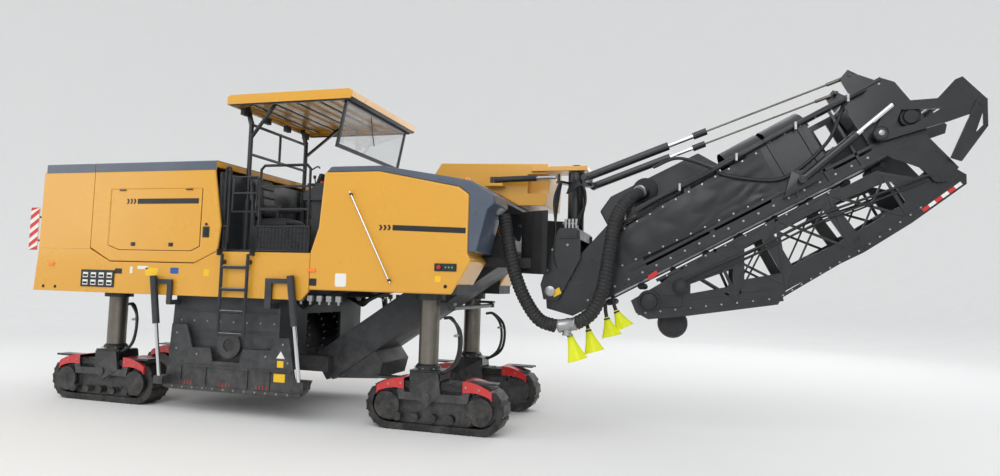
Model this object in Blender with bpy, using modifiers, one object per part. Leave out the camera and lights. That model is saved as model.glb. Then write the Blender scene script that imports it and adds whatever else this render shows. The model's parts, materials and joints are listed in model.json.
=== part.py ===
"""Cold planer (road milling machine): tracked, with a folding front-loading conveyor.

The model is built in metres, +X towards the discharge conveyor, +Y to the machine's left, +Z up.
Lengths along X are counted from the front steering legs; one parent empty then puts the
middle of the whole machine's footprint at the world origin.
"""

import math

import bmesh
import bpy
from mathutils import Matrix, Vector

# ---------------------------------------------------------------- driving dimensions (metres)
GAP = 0.0003            # between pieces that touch
RUN = 0.0008            # radial room of a pin, rod or column that slides or turns in its seat
CLEAR = 0.010           # between pieces that move past each other

WHEELBASE = 4.69        # front legs to rear legs
GAUGE = 1.66            # between the legs' axes
COLUMN_R = 0.12
YOKE_TOP = 0.72
ARM_Z = 1.49            # underside of the steering arms
ARM_REACH = 0.28

TRACK_LENGTH = 1.74
TRACK_HEIGHT = 0.58
TRACK_WIDTH = 0.30
SHOE_COUNT = 24
SHOE_DEPTH = 0.030
CHAIN_DEPTH = 0.055
TRACK_SHIFT_FRONT = 0.14
TRACK_SHIFT_REAR = -0.05

HULL_HALF = 1.22        # half width over the side panels
SKIN = 0.04             # panels, doors and hood
REAR_X = -5.80
FLOOR_REAR = 1.50       # underside of the hull behind the platform
FLOOR_FRONT = 1.61      # underside of the hull in front of it
HOOD_REAR = -4.85
HOOD_FRONT = -2.90
HOOD_TOP = 3.26
SHOULDER = 3.14         # top of the yellow sides
HOOD_SEAM = 1.92
PLATFORM_Z = 2.08
PLATFORM_FRONT = -1.45
FRONT_TOP = 3.08
NOSE_X = 0.60
TUNNEL_HALF = 0.60      # half width of the conveyor's passage through the front of the hull

ROOF_TOP = 4.19
ROOF_DEPTH = 0.13
ROOF_REAR = -2.95
ROOF_FRONT = -1.09
ROOF_HALF = 1.00
POST_X = -2.79
POST_Y = 0.68
POST_R = 0.032
SLEEVE_TOP = 2.82       # the tubes on the platform that the canopy's posts slide in

DRUM_X = -2.62
DRUM_Z = 0.89
DRUM_R = 0.50
DRUM_WIDTH = 2.00
HOUSING_REAR = -3.50
HOUSING_FRONT = -1.92
HOUSING_HALF = 1.07
SIDE_PLATE = 0.030
SIDE_SLANT = math.radians(8.5)
RAM_Y = 1.280
RAM_R = 0.045
RAM_ROD_R = 0.024

SLEW_X = 1.62
BOOM_ANGLE = math.radians(28.6)
BOOM_HALF = 0.50        # half width over the conveyor's side frames
BOOM_DEPTH = 0.70
BOOM_PIVOT = (1.42, 1.70)
BOOM_END = 4.30         # from the pivot to the end of the fixed section, along its rails
FOLD_HINGE = (5.58, 3.11)
MAST_TOP = 3.22
SLEW_RAM_Z = 3.12
SLEW_RAM_BASE = (0.56, -0.18)
SLEW_RAM_EYE = (1.45, -0.32)
LIFT_BASE = (1.79, 3.10)
LIFT_EYE = (4.72, 4.20)
LIFT_Y = 0.35
ARM_PIN = (4.97, 3.48)
RAM_PIN = (5.11, 3.81)
LINK_PIN = (5.91, 3.77)
LINK_END = (5.66, 3.19)
FOLD_RAM_BASE = (4.20, 3.00)
FOLD_RAM_Y = 0.635

COLORS = {
    "yellow": (0.80, 0.42, 0.045, 1.0),
    "grey": (0.16, 0.19, 0.23, 1.0),
    "dark": (0.035, 0.037, 0.040, 1.0),
    "iron": (0.055, 0.055, 0.055, 1.0),
    "column": (0.20, 0.19, 0.17, 1.0),
    "rubber": (0.018, 0.018, 0.019, 1.0),
    "tarp": (0.030, 0.031, 0.030, 1.0),
    "chrome": (0.75, 0.76, 0.78, 1.0),
    "glass": (0.10, 0.12, 0.13, 0.35),
    "seat": (0.03, 0.03, 0.035, 1.0),
}


# ---------------------------------------------------------------- scene set-up and helpers
def clear_scene():
    for obj in list(bpy.data.objects):
        bpy.data.objects.remove(obj, do_unlink=True)


clear_scene()
MACHINE = bpy.data.collections.new("cold_planer")
CUTTERS = bpy.data.collections.new("cutters")
bpy.context.scene.collection.children.link(MACHINE)
bpy.context.scene.collection.children.link(CUTTERS)
ROOT = bpy.data.objects.new("machine_origin", None)
MACHINE.objects.link(ROOT)
NODES = []


def material(name, kind):
    """A Principled material of the piece's own."""
    mat = bpy.data.materials.new(name)
    mat.use_nodes = True
    shader = mat.node_tree.nodes["Principled BSDF"]
    shader.inputs["Base Color"].default_value = COLORS[kind]
    shader.inputs["Metallic"].default_value = 1.0 if kind in ("chrome", "column") else 0.0
    shader.inputs["Roughness"].default_value = 0.8 if kind in ("rubber", "tarp", "seat") else 0.4
    return mat


def link_mesh(mesh, name="shape"):
    obj = bpy.data.objects.new(name, mesh)
    MACHINE.objects.link(obj)
    return obj


def solid_from(bm, name="shape"):
    """Turns a bmesh into an object with its faces pointing out."""
    bmesh.ops.recalc_face_normals(bm, faces=bm.faces)
    mesh = bpy.data.meshes.new(name)
    bm.to_mesh(mesh)
    bm.free()
    return link_mesh(mesh, name)


def box(x, y, z):
    """A box from its low and high values along each axis."""
    bm = bmesh.new()
    bmesh.ops.create_cube(bm, size=1.0)
    size = Vector((x[1] - x[0], y[1] - y[0], z[1] - z[0]))
    centre = Vector((x[0] + x[1], y[0] + y[1], z[0] + z[1])) / 2
    bmesh.ops.scale(bm, vec=size, verts=bm.verts)
    bmesh.ops.translate(bm, vec=centre, verts=bm.verts)
    return solid_from(bm)


def rod(start, end, radius, sides=12, end_radius=None):
    """A round bar or cone between two points."""
    start, end = Vector(start), Vector(end)
    along = end - start
    bm = bmesh.new()
    bmesh.ops.create_cone(bm, cap_ends=True, segments=sides, radius1=radius,
                          radius2=radius if end_radius is None else end_radius, depth=along.length)
    turn = along.to_track_quat("Z", "Y").to_matrix().to_4x4()
    bmesh.ops.transform(bm, matrix=Matrix.Translation((start + end) / 2) @ turn, verts=bm.verts)
    return solid_from(bm)


def beam(start, end, wide, deep):
    """A square bar between two points; wide is across Y, deep across the slope."""
    start, end = Vector(start), Vector(end)
    along = (end - start).normalized()
    side = Vector((0, 1, 0)) if abs(along.y) < 0.9 else Vector((1, 0, 0))
    up = along.cross(side).normalized()
    side = up.cross(along).normalized()
    bm = bmesh.new()
    bmesh.ops.create_cube(bm, size=1.0)
    bmesh.ops.scale(bm, vec=((end - start).length, wide, deep), verts=bm.verts)
    frame = Matrix((along, side, up)).transposed().to_4x4()
    bmesh.ops.transform(bm, matrix=Matrix.Translation((start + end) / 2) @ frame, verts=bm.verts)
    return solid_from(bm)


def to_mesh_object(obj):
    """Makes a curve a mesh with welded caps, and takes the curve away."""
    bpy.context.view_layer.update()
    evaluated = obj.evaluated_get(bpy.context.evaluated_depsgraph_get())
    mesh = bpy.data.meshes.new_from_object(evaluated)
    mesh.transform(obj.matrix_world)
    bm = bmesh.new()
    bm.from_mesh(mesh)
    bmesh.ops.remove_doubles(bm, verts=bm.verts, dist=0.00005)
    bmesh.ops.recalc_face_normals(bm, faces=bm.faces)
    bm.to_mesh(mesh)
    bm.free()
    bpy.data.objects.remove(obj, do_unlink=True)
    return link_mesh(mesh)


def plate(outline, y, holes=()):
    """A flat outline in X and Z, extruded from y[0] to y[1]; each hole is an outline too."""
    curve = bpy.data.curves.new("outline", "CURVE")
    curve.dimensions = "2D"
    curve.fill_mode = "BOTH"
    curve.extrude = (y[1] - y[0]) / 2
    for ring in (outline, *holes):
        spline = curve.splines.new("POLY")
        spline.points.add(len(ring) - 1)
        for point, (px, pz) in zip(spline.points, ring):
            point.co = (px, pz, 0.0, 1.0)
        spline.use_cyclic_u = True
    obj = bpy.data.objects.new("outline", curve)
    MACHINE.objects.link(obj)
    obj.matrix_world = Matrix.Translation((0, (y[0] + y[1]) / 2, 0)) @ Matrix.Rotation(math.pi / 2, 4, "X")
    return to_mesh_object(obj)


def ring_points(cx, cz, radius, count=16, start=0.0):
    """Points on a circle, for an outline or a hole."""
    turns = [start + 2 * math.pi * i / count for i in range(count)]
    return [(cx + radius * math.cos(t), cz + radius * math.sin(t)) for t in turns]


def pipe(points, radius, smooth=False, resolution=1, cyclic=False):
    """A bent tube along points."""
    curve = bpy.data.curves.new("pipe", "CURVE")
    curve.dimensions = "3D"
    curve.bevel_depth = radius
    curve.bevel_resolution = resolution
    curve.use_fill_caps = True
    path = catmull(points, 4) if smooth else points
    spline = curve.splines.new("POLY")
    spline.points.add(len(path) - 1)
    for point, place in zip(spline.points, path):
        point.co = (*place, 1.0)
    spline.use_cyclic_u = cyclic
    obj = bpy.data.objects.new("pipe", curve)
    MACHINE.objects.link(obj)
    return to_mesh_object(obj)


def catmull(points, steps):
    """Points on a smooth curve through the given ones."""
    pts = [Vector(p) for p in points]
    ends = [2 * pts[0] - pts[1], *pts, 2 * pts[-1] - pts[-2]]
    path = []
    for a, b, c, d in zip(ends, ends[1:], ends[2:], ends[3:]):
        for i in range(steps):
            t = i / steps
            path.append(0.5 * (2 * b + (c - a) * t + (2 * a - 5 * b + 4 * c - d) * t * t
                               + (3 * b - a - 3 * c + d) * t ** 3))
    path.append(pts[-1])
    return path


def boolean(base, other, operation):
    """Cuts or joins with a live Boolean; the other shape becomes a guide."""
    MACHINE.objects.unlink(other)
    CUTTERS.objects.link(other)
    other.parent = ROOT
    other.hide_render = True
    other.display_type = "WIRE"
    mod = base.modifiers.new(operation.lower(), "BOOLEAN")
    mod.operation = operation
    mod.solver = "EXACT"
    mod.object = other
    return base


def join(base, *others):
    for other in others:
        boolean(base, other, "UNION")
    return base


def cut(base, *others):
    for other in others:
        boolean(base, other, "DIFFERENCE")
    return base


def mirrored(shape):
    """A copy on the machine's other side."""
    bpy.context.view_layer.update()
    evaluated = shape.evaluated_get(bpy.context.evaluated_depsgraph_get())
    mesh = bpy.data.meshes.new_from_object(evaluated)
    bm = bmesh.new()
    bm.from_mesh(mesh)
    bmesh.ops.scale(bm, vec=(1, -1, 1), verts=bm.verts)
    bmesh.ops.reverse_faces(bm, faces=bm.faces)
    bm.to_mesh(mesh)
    bm.free()
    return link_mesh(mesh)


def node(obj, name, kind, pivot=(0, 0, 0)):
    """Names a finished piece, gives it its material and puts its origin on its pivot."""
    obj.name = name
    obj.data.name = name
    obj.data.materials.clear()
    obj.data.materials.append(material(name, kind))
    pivot = Vector(pivot)
    obj.data.transform(Matrix.Translation(-pivot))
    obj.location = pivot
    obj.parent = ROOT
    NODES.append(obj)
    return obj


def pair(make, name, kind, pivot=(0, 0, 0)):
    """A piece on the right side and its mirror image on the left."""
    right = make()
    left = mirrored(right)
    node(right, name + "_right", kind, pivot)
    node(left, name + "_left", kind, (pivot[0], -pivot[1], pivot[2]))


# ---------------------------------------------------------------- chassis and hull
LEGS = {
    "front_right": (0.0, -GAUGE / 2, TRACK_SHIFT_FRONT, FLOOR_FRONT),
    "front_left": (0.0, GAUGE / 2, TRACK_SHIFT_FRONT, FLOOR_FRONT),
    "rear_right": (-WHEELBASE, -GAUGE / 2, TRACK_SHIFT_REAR, FLOOR_REAR),
    "rear_left": (-WHEELBASE, GAUGE / 2, TRACK_SHIFT_REAR, FLOOR_REAR),
}
FRAME_TOP = 1.90
COLUMN_TOP = 1.80
PANEL_IN = HULL_HALF - SKIN
FRAME_HALF = PANEL_IN - GAP


def main_frame():
    """The welded frame: drum bay, conveyor tunnel and the four guides of the legs."""
    frame = box((REAR_X + 0.15, 0.46), (-FRAME_HALF, FRAME_HALF), (FLOOR_REAR + 0.02, FRAME_TOP))
    step = box((PLATFORM_FRONT - 0.05, 1.0), (-2, 2), (1.0, FLOOR_FRONT + 0.02))
    bay = box((HOUSING_REAR - 0.05, HOUSING_FRONT + 0.02), (-1.1, 1.1), (1.0, 1.62))
    tunnel = box((HOUSING_FRONT - 0.05, 1.0), (-TUNNEL_HALF, TUNNEL_HALF), (1.0, 2.5))
    cut(frame, step, bay, tunnel)
    for x, y, _, floor in LEGS.values():
        join(frame, rod((x, y, floor - 0.06), (x, y, floor + 0.10), COLUMN_R + 0.06, 16))
    for x, y, _, floor in LEGS.values():
        cut(frame, rod((x, y, 1.2), (x, y, COLUMN_TOP + 0.02), COLUMN_R + 2 * RUN, 32))
    node(frame, "main_frame", "dark")
    engine = box((-4.60, -3.10), (-0.55, 0.55), (FRAME_TOP + GAP, 2.95))
    node(engine, "engine_block", "iron")


def hull_panels():
    """The yellow lower side panels, split where the hood's seam runs."""
    def panel():
        outline = [(REAR_X, FLOOR_REAR), (PLATFORM_FRONT - 0.10, FLOOR_REAR),
                   (PLATFORM_FRONT - GAP, FLOOR_FRONT), (PLATFORM_FRONT - GAP, PLATFORM_Z),
                   (-2.80, PLATFORM_Z), (-3.14, HOOD_SEAM), (-4.50, HOOD_SEAM),
                   (HOOD_REAR, 2.09), (REAR_X + 0.05, 2.09)]
        return plate(outline, (-HULL_HALF, -PANEL_IN))
    pair(panel, "lower_hull", "yellow")


def rear_housing():
    """The cooler housing behind the hood: side and rear walls under a sloping grey top."""
    walls = plate([(REAR_X + 0.05, 2.09 + GAP), (HOOD_REAR - GAP, 2.09 + GAP),
                   (HOOD_REAR - GAP, HOOD_TOP), (REAR_X + 0.16, HOOD_TOP - 0.02),
                   (REAR_X + 0.06, HOOD_TOP - 0.13)], (-HULL_HALF, HULL_HALF))
    room = box((REAR_X + 0.15, HOOD_REAR + 0.1), (-PANEL_IN, PANEL_IN), (1.9, SHOULDER + 0.02))
    cut(walls, room)
    tail = plate([(REAR_X, FLOOR_REAR), (REAR_X + 0.15 - GAP, FLOOR_REAR),
                  (REAR_X + 0.15 - GAP, 2.2), (REAR_X + 0.06, 2.2)], (-PANEL_IN + GAP, PANEL_IN - GAP))
    node(join(walls, tail), "rear_housing", "yellow")


def hood():
    """The engine hood: one folded cover, hinged at the top of its rear seam."""
    rear = HOOD_REAR + CLEAR
    side = [(rear, 2.09 + CLEAR), (-4.50, HOOD_SEAM + CLEAR), (-3.14, HOOD_SEAM + CLEAR),
            (-2.80, PLATFORM_Z + CLEAR), (-2.77, 2.42), (HOOD_FRONT, SHOULDER),
            (HOOD_FRONT + 0.02, HOOD_TOP), (rear, HOOD_TOP)]
    cover = plate(side, (-HULL_HALF, HULL_HALF))
    room = box((HOOD_REAR - 0.1, -2.5), (-PANEL_IN, PANEL_IN), (1.8, SHOULDER + 0.04))
    door = plate(DOOR, (-HULL_HALF - 0.05, HULL_HALF + 0.05))
    node(cut(cover, room, door), "engine_hood", "yellow", (HOOD_REAR, 0, HOOD_TOP))

    def flap():
        shape = [(x, DOOR_TOP - GAP if z > DOOR_TOP - 0.05 else z) for x, z in inset(DOOR, CLEAR)]
        return plate(shape, (-HULL_HALF, -PANEL_IN))
    pair(flap, "hood_door", "yellow", (DOOR_MID, -HULL_HALF, DOOR_TOP))


DOOR_TOP = 2.90
DOOR_MID = -3.81
DOOR = [(-4.55, DOOR_TOP), (-4.55, 2.14), (-4.37, 2.08), (-3.20, 2.08), (-3.07, 2.14), (-3.07, DOOR_TOP)]


def inset(outline, room):
    """An outline drawn in towards its middle by about the given room."""
    cx = sum(p[0] for p in outline) / len(outline)
    cz = sum(p[1] for p in outline) / len(outline)
    half_x = max(abs(p[0] - cx) for p in outline)
    half_z = max(abs(p[1] - cz) for p in outline)
    return [(cx + (p[0] - cx) * (1 - room / half_x), cz + (p[1] - cz) * (1 - room / half_z)) for p in outline]


def front_hull():
    """The two front housings beside the conveyor's passage, their grey top and the nose lamps."""
    def side():
        outline = [(PLATFORM_FRONT + GAP, FLOOR_FRONT + 0.02), (0.40, FLOOR_FRONT + 0.02), (0.63, 2.03), (0.58, 2.10),
                   (0.58, 2.79), (0.45, 2.88), (-0.57, FRONT_TOP), (-1.30, FRONT_TOP), (-1.35, 2.40),
                   (PLATFORM_FRONT + GAP, 2.09)]
        shell = plate(outline, (-HULL_HALF, -TUNNEL_HALF - GAP))
        seat = box((-2, 0.46 + GAP), (-FRAME_HALF - GAP, 0), (1.0, FRAME_TOP + GAP))
        return cut(shell, seat)
    pair(side, "front_hull", "yellow")
    top = plate([(-1.29, FRONT_TOP + GAP), (-0.57, FRONT_TOP + GAP), (0.45, 2.88 + GAP), (0.58 + GAP, 2.79 + GAP),
                 (0.58 + GAP, 2.12), (0.68, 2.12), (0.80, 2.62), (0.88, 2.68), (0.88, 2.79), (0.60, 2.95), (0.34, 3.00),
                 (-0.37, 3.12), (-0.55, 3.15), (-1.22, 3.15)], (-HULL_HALF + 0.01, HULL_HALF - 0.01))
    passage = box((0.30, 1.5), (-TUNNEL_HALF, TUNNEL_HALF), (1.5, 2.75))
    node(cut(top, passage), "front_top_cover", "grey")
    bridge = plate([(-0.36, 3.12 + GAP), (0.34, 3.00 + GAP), (0.60, 2.95 + GAP), (0.885, 2.793), (1.25, 2.79), (1.27, 3.33),
                    (-0.20, 3.37)], (-0.10, 0.85))
    nose = box((1.05, SLEW_X + 0.16), (-0.15, 0.25), (MAST_TOP + CLEAR, MAST_TOP + 0.07))
    lug = box((0.46, 0.70), (-0.24, 0.10), (SLEW_RAM_Z - 0.09, SLEW_RAM_Z - 0.05))
    pin = rod((*SLEW_RAM_BASE, SLEW_RAM_Z - 0.06), (*SLEW_RAM_BASE, SLEW_RAM_Z + 0.06), 0.022)
    join(bridge, nose, lug, pin)
    recess = box((1.0, 1.30), (-0.2, 0.04), (2.95, 3.20))
    cut(bridge, rod((SLEW_X, 0, MAST_TOP - 0.1), (SLEW_X, 0, MAST_TOP + 0.2), 0.05 + 2 * RUN, 32), recess)
    node(bridge, "mast_bridge", "yellow")


def platform():
    """The driver's floor with its rear wall and the sleeves that guide the canopy's posts."""
    floor = box((-2.86, PLATFORM_FRONT - CLEAR), (-FRAME_HALF, FRAME_HALF), (FRAME_TOP + GAP, PLATFORM_Z))
    wall = box((-2.86, -2.83), (-1.165, 1.165), (2.0, 3.12))
    join(floor, wall)
    for side in (-1, 1):
        y = side * POST_Y
        join(floor, rod((POST_X, y, 2.0), (POST_X, y, SLEEVE_TOP), 0.055))
    for side in (-1, 1):
        y = side * POST_Y
        cut(floor, rod((POST_X, y, 2.05), (POST_X, y, 3.4), POST_R + RUN))
    stand = box((-1.72, -1.52), (-0.80, 0.80), (2.0, 2.80))
    desk = plate([(-1.82, 2.78), (-1.50, 2.78), (-1.50, 3.00), (-1.62, 3.00), (-1.82, 2.86)], (-0.85, 0.85))
    node(join(floor, stand, desk), "platform", "dark")


def guard_rails():
    """Basket panels with their posts and the bent handrails over them, one set on each side."""
    y = -1.15

    def loop(x0, x1, z0, z1, r=0.05):
        return [(x0, y, z0), (x0, y, z1 - r), (x0 + r, y, z1), (x1 - r, y, z1), (x1, y, z1 - r), (x1, y, z0)]

    def rails():
        panel = box((-2.26, -1.50), (y - 0.012, y + 0.012), (PLATFORM_Z + GAP, 2.42))
        rear = box((-2.80, -2.70), (y - 0.012, y + 0.012), (PLATFORM_Z + GAP, 2.42))
        foot = box((-2.79, -1.52), (y - 0.02, y + 0.02), (PLATFORM_Z + GAP, PLATFORM_Z + 0.03))
        join(foot, panel, rear, pipe(loop(-2.25, -1.54, 2.2, 3.19), 0.019), pipe(loop(-2.77, -2.71, 2.2, 3.18, 0.02), 0.019),
             box((-2.2827, -2.24), (y - 0.013, y + 0.013), (2.68, 2.72)), box((-2.2827, -2.24), (y - 0.013, y + 0.013), (2.96, 3.00)),
             pipe([(-2.25, y, 2.92), (-1.54, y, 2.92)], 0.015), pipe([(-2.25, y, 2.63), (-1.54, y, 2.63)], 0.015))
        return foot
    pair(rails, "guard_rail", "dark")

    def gate():
        frame = pipe([(-2.30, y, 2.60), (-2.30, y, 3.05), (-2.66, y, 3.05), (-2.66, y, 2.60)], 0.017, cyclic=True)
        return join(frame, pipe([(-2.30, y, 2.84), (-2.66, y, 2.84)], 0.014), rod((-2.30, y, 2.66), (-2.30, y, 2.74), 0.0171),
                    rod((-2.30, y, 2.94), (-2.30, y, 3.02), 0.0171))
    pair(gate, "gate", "dark", (-2.30, y, 2.84))


def seats():
    def seat():
        base = box((-2.42, -2.18), (-0.72, -0.48), (PLATFORM_Z + GAP, 2.42))
        pan = box((-2.55, -2.05), (-0.84, -0.36), (2.42 - 0.01, 2.56))
        back = plate([(-2.58, 2.50), (-2.46, 2.50), (-2.56, 3.12), (-2.66, 3.12)], (-0.78, -0.40))
        return join(base, pan, back)
    pair(seat, "seat", "seat")


def canopy():
    """The roof on two telescoping posts, with the framed front window under its edge."""
    low = ROOF_TOP - ROOF_DEPTH
    roof = plate([(ROOF_REAR, low), (ROOF_FRONT - 0.06, low), (ROOF_FRONT, low + 0.02), (ROOF_FRONT, ROOF_TOP - 0.03),
                  (ROOF_FRONT - 0.05, ROOF_TOP), (ROOF_REAR + 0.04, ROOF_TOP), (ROOF_REAR, ROOF_TOP - 0.03)],
                 (-ROOF_HALF, ROOF_HALF))
    hollow = box((ROOF_REAR + 0.04, ROOF_FRONT - 0.08), (-ROOF_HALF + 0.04, ROOF_HALF - 0.04), (3.9, ROOF_TOP - 0.05))
    cut(roof, hollow)
    top = ROOF_TOP - 0.04
    rim = box((ROOF_REAR + 0.05, ROOF_FRONT - 0.09), (-0.95, 0.95), (top - 0.05, top))
    inner = box((ROOF_REAR + 0.11, ROOF_FRONT - 0.16), (-0.89, 0.89), (top - 0.2, top + 0.1))
    cut(rim, inner)
    for side in (-1, 1):
        y = side * POST_Y
        join(rim, rod((POST_X, y, SLEEVE_TOP - 0.10), (POST_X, y, 3.90), POST_R),
             beam((POST_X, y, 3.86), (ROOF_REAR + 0.08, y, top - 0.02), 0.05, 0.05),
             beam((POST_X, y, 3.67), (-2.30, y * 1.2, top - 0.02), 0.035, 0.035))
    join(rim, rod((POST_X, -POST_Y, 3.45), (POST_X, POST_Y, 3.45), 0.02, 10),
         rod((POST_X, -POST_Y, 3.86), (POST_X, POST_Y, 3.86), 0.021, 10), rod((POST_X, 0, 3.45), (POST_X, 0, 3.88), 0.02, 10))
    node(join(roof, rim), "canopy", "yellow")
    wx, wz = WINDOW_TOP
    lx, lz = -1.33, 3.46
    half = 0.93
    sash = beam((wx, 0, wz - 0.01), (lx, 0, lz), 2 * half, 0.03)
    along = Vector((lx - wx, 0, lz - wz)).normalized()
    a = Vector((wx, 0, wz)) + along * 0.05
    b = Vector((lx, 0, lz)) - along * 0.05
    hole = beam(a, b, 2 * half - 0.08, 0.2)
    join(cut(sash, hole), rod((wx, -half, wz), (wx, half, wz), 0.012))
    node(sash, "window_frame", "dark", (wx, 0, wz))


WINDOW_TOP = (-1.21, ROOF_TOP - 0.04 - 0.05 - 0.0123)


def ladders():
    """Fold-up ladders under the gates, hinged at the knobs on the hull's side."""
    y = -HULL_HALF - 0.055

    def ladder():
        left = pipe([(-2.67, y, 2.05), (-2.67, y, 1.02)], 0.022)
        for z in (1.04, 1.32, 1.60, 1.88):
            join(left, rod((-2.67, y, z), (-2.29, y, z), 0.018, 12))
        join(left, pipe([(-2.29, y, 2.05), (-2.29, y, 1.02)], 0.022),
             rod((-2.67, y, LADDER_Z), (-2.67, -HULL_HALF - GAP, LADDER_Z), 0.03, 12),
             rod((-2.29, y, LADDER_Z), (-2.29, -HULL_HALF - GAP, LADDER_Z), 0.03, 12))
        return left
    pair(ladder, "ladder", "dark", (-2.48, y - 0.025, 2.075))


LADDER_Z = 1.95


# ---------------------------------------------------------------- milling unit
SLANT = Vector((-math.sin(SIDE_SLANT), 0, math.cos(SIDE_SLANT)))


def barrel(low, high, out_r, bore_r, floor=0.03):
    """A ram's barrel, open at its low end: a turned profile set along its axis."""
    low, high = Vector(low), Vector(high)
    length = (high - low).length
    profile = [(0, length), (out_r, length), (out_r, 0), (bore_r, 0), (bore_r, length - floor), (0, length - floor)]
    bm = bmesh.new()
    verts = [bm.verts.new((x, 0, z)) for x, z in profile]
    for a, b in zip(verts, verts[1:]):
        bm.edges.new((a, b))
    mesh = bpy.data.meshes.new("profile")
    bm.to_mesh(mesh)
    bm.free()
    obj = link_mesh(mesh)
    mod = obj.modifiers.new("turn", "SCREW")
    mod.axis = "Z"
    mod.steps = mod.render_steps = 12
    mod.use_merge_vertices = True
    mod.merge_threshold = 0.0001
    turn = (high - low).to_track_quat("Z", "Y").to_matrix().to_4x4()
    obj.matrix_world = Matrix.Translation(low) @ turn
    return to_mesh_object(obj)


def ram_axis(x, z, up):
    """A point on a side plate's ram axis, a distance up the slant from (x, z)."""
    return Vector((x, -RAM_Y, z)) + SLANT * up


RAM_FEET = {"rear": (-3.51, 0.42), "front": (-1.47, 0.47)}
RAM_ROD = 0.72          # from the rod's foot to the barrel's mouth at rest
RAM_BARREL = 0.62


def drum_housing():
    """The box over the drum, open below, with its fixed side walls, arms and the four barrels."""
    housing = box((HOUSING_REAR, HOUSING_FRONT), (-HOUSING_HALF, HOUSING_HALF), (0.62, 1.62 - GAP))
    room = box((HOUSING_REAR + 0.04, HOUSING_FRONT - 0.04), (-DRUM_WIDTH / 2 - 0.03, DRUM_WIDTH / 2 + 0.03), (0.3, 1.50))
    mouth = box((HOUSING_FRONT - 0.1, HOUSING_FRONT + 0.1), (-0.45, 0.45), (0.3, 1.30))
    cut(housing, room, mouth)
    for side in (-1, 1):
        hub = rod((DRUM_X, side * 1.035, DRUM_Z), (DRUM_X, side * (HOUSING_HALF + 0.05), DRUM_Z), 0.17, 16)
        join(housing, hub)
    for side in (-1, 1):
        for name, (x, z) in RAM_FEET.items():
            mouth_at = ram_axis(x, z, RAM_ROD)
            top = ram_axis(x, z, RAM_ROD + RAM_BARREL)
            for point in (mouth_at, top):
                point.y *= -side
            shell = rod(mouth_at, top, RAM_R)
            inner = HOUSING_HALF - 0.02
            reach = 0.28 if name == "rear" else -0.36
            outside = sorted((side * (HULL_HALF + 0.02), side * (HULL_HALF + 0.05)))
            end = top.x + reach
            arm = box(sorted((top.x, end)), outside, (top.z - 0.10, top.z - 0.04))
            post = box(sorted((end - 0.25 * reach, end - 0.001)), sorted((side * (HULL_HALF + 0.017), side * (HULL_HALF + 0.047))),
                       (1.39, top.z - 0.06))
            foot = box(sorted((end - 0.24 * reach, end)), sorted((side * (HOUSING_HALF - 0.02), side * (HULL_HALF + 0.04))),
                       (1.38, 1.44))
            join(housing, shell, arm, post, foot)
    for side in (-1, 1):
        for x, z in RAM_FEET.values():
            deep = ram_axis(x, z, RAM_ROD + RAM_BARREL - 0.03)
            start = ram_axis(x, z, RAM_ROD - 0.05)
            for point in (deep, start):
                point.y *= -side
            cut(housing, rod(start, deep, RAM_ROD_R + RUN))
    cut(housing, rod((DRUM_X, -1.2, DRUM_Z), (DRUM_X, 1.2, DRUM_Z), 0.08 + RUN, 32))
    node(housing, "drum_housing", "dark")


def milling_drum():
    """The drum on its shaft; the tool holders are left to the finished surface."""
    drum = rod((DRUM_X, -DRUM_WIDTH / 2, DRUM_Z), (DRUM_X, DRUM_WIDTH / 2, DRUM_Z), DRUM_R - 0.06, 24)
    shaft = rod((DRUM_X, -HOUSING_HALF - 0.04, DRUM_Z), (DRUM_X, HOUSING_HALF + 0.04, DRUM_Z), 0.08, 32)
    join(drum, shaft)
    for i in range(12):
        turn = 2 * math.pi * i / 12
        out = Vector((math.cos(turn), 0, math.sin(turn)))
        y = -0.88 + 1.76 * ((i * 5) % 12) / 11
        base = Vector((DRUM_X, y, DRUM_Z)) + out * (DRUM_R - 0.10)
        join(drum, rod(base, base + out * 0.10, 0.045, 8, 0.02))
    node(drum, "milling_drum", "iron", (DRUM_X, 0, DRUM_Z))


def side_plates():
    """The sliding side plates with the four rods that lift them."""
    face = -(HOUSING_HALF + CLEAR + 0.05)

    def side_plate():
        outline = [(-3.56, 0.32), (-3.50, 0.30), (-1.54, 0.30), (-1.44, 0.38), (-1.38, 0.53), (-1.62, 0.53), (-1.72, 1.02),
                   (-1.87, 1.02), (-1.98, 0.86), (-2.38, 0.85), (-2.42, 0.68), (-2.82, 0.68), (-2.86, 0.85),
                   (-3.14, 0.84), (-3.24, 1.13), (-3.47, 1.13), (-3.50, 0.60)]
        shape = plate(outline, (face - SIDE_PLATE, face))
        for x, z in RAM_FEET.values():
            foot = ram_axis(x, z, 0)
            lug = box((foot.x - 0.07, foot.x + 0.07), (foot.y - 0.03, face - 0.01), (foot.z - 0.05, foot.z + 0.05))
            join(shape, lug, rod(foot, ram_axis(x, z, RAM_ROD + 0.24), RAM_ROD_R))
        return shape
    pair(side_plate, "side_plate", "dark")


def scraper():
    """The scraper blade that closes the housing behind the drum."""
    blade = plate([(-3.62, 0.34), (-3.52, 0.34), (HOUSING_REAR - GAP, 0.80), (HOUSING_REAR - GAP, 1.44),
                   (-3.56, 1.44)], (-1.03, 1.03))
    node(blade, "scraper", "dark")


PRIMARY_FOOT = Vector((-1.62, 0, 0.62))
PRIMARY_HEAD = Vector((0.80, 0, 2.28))


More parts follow.
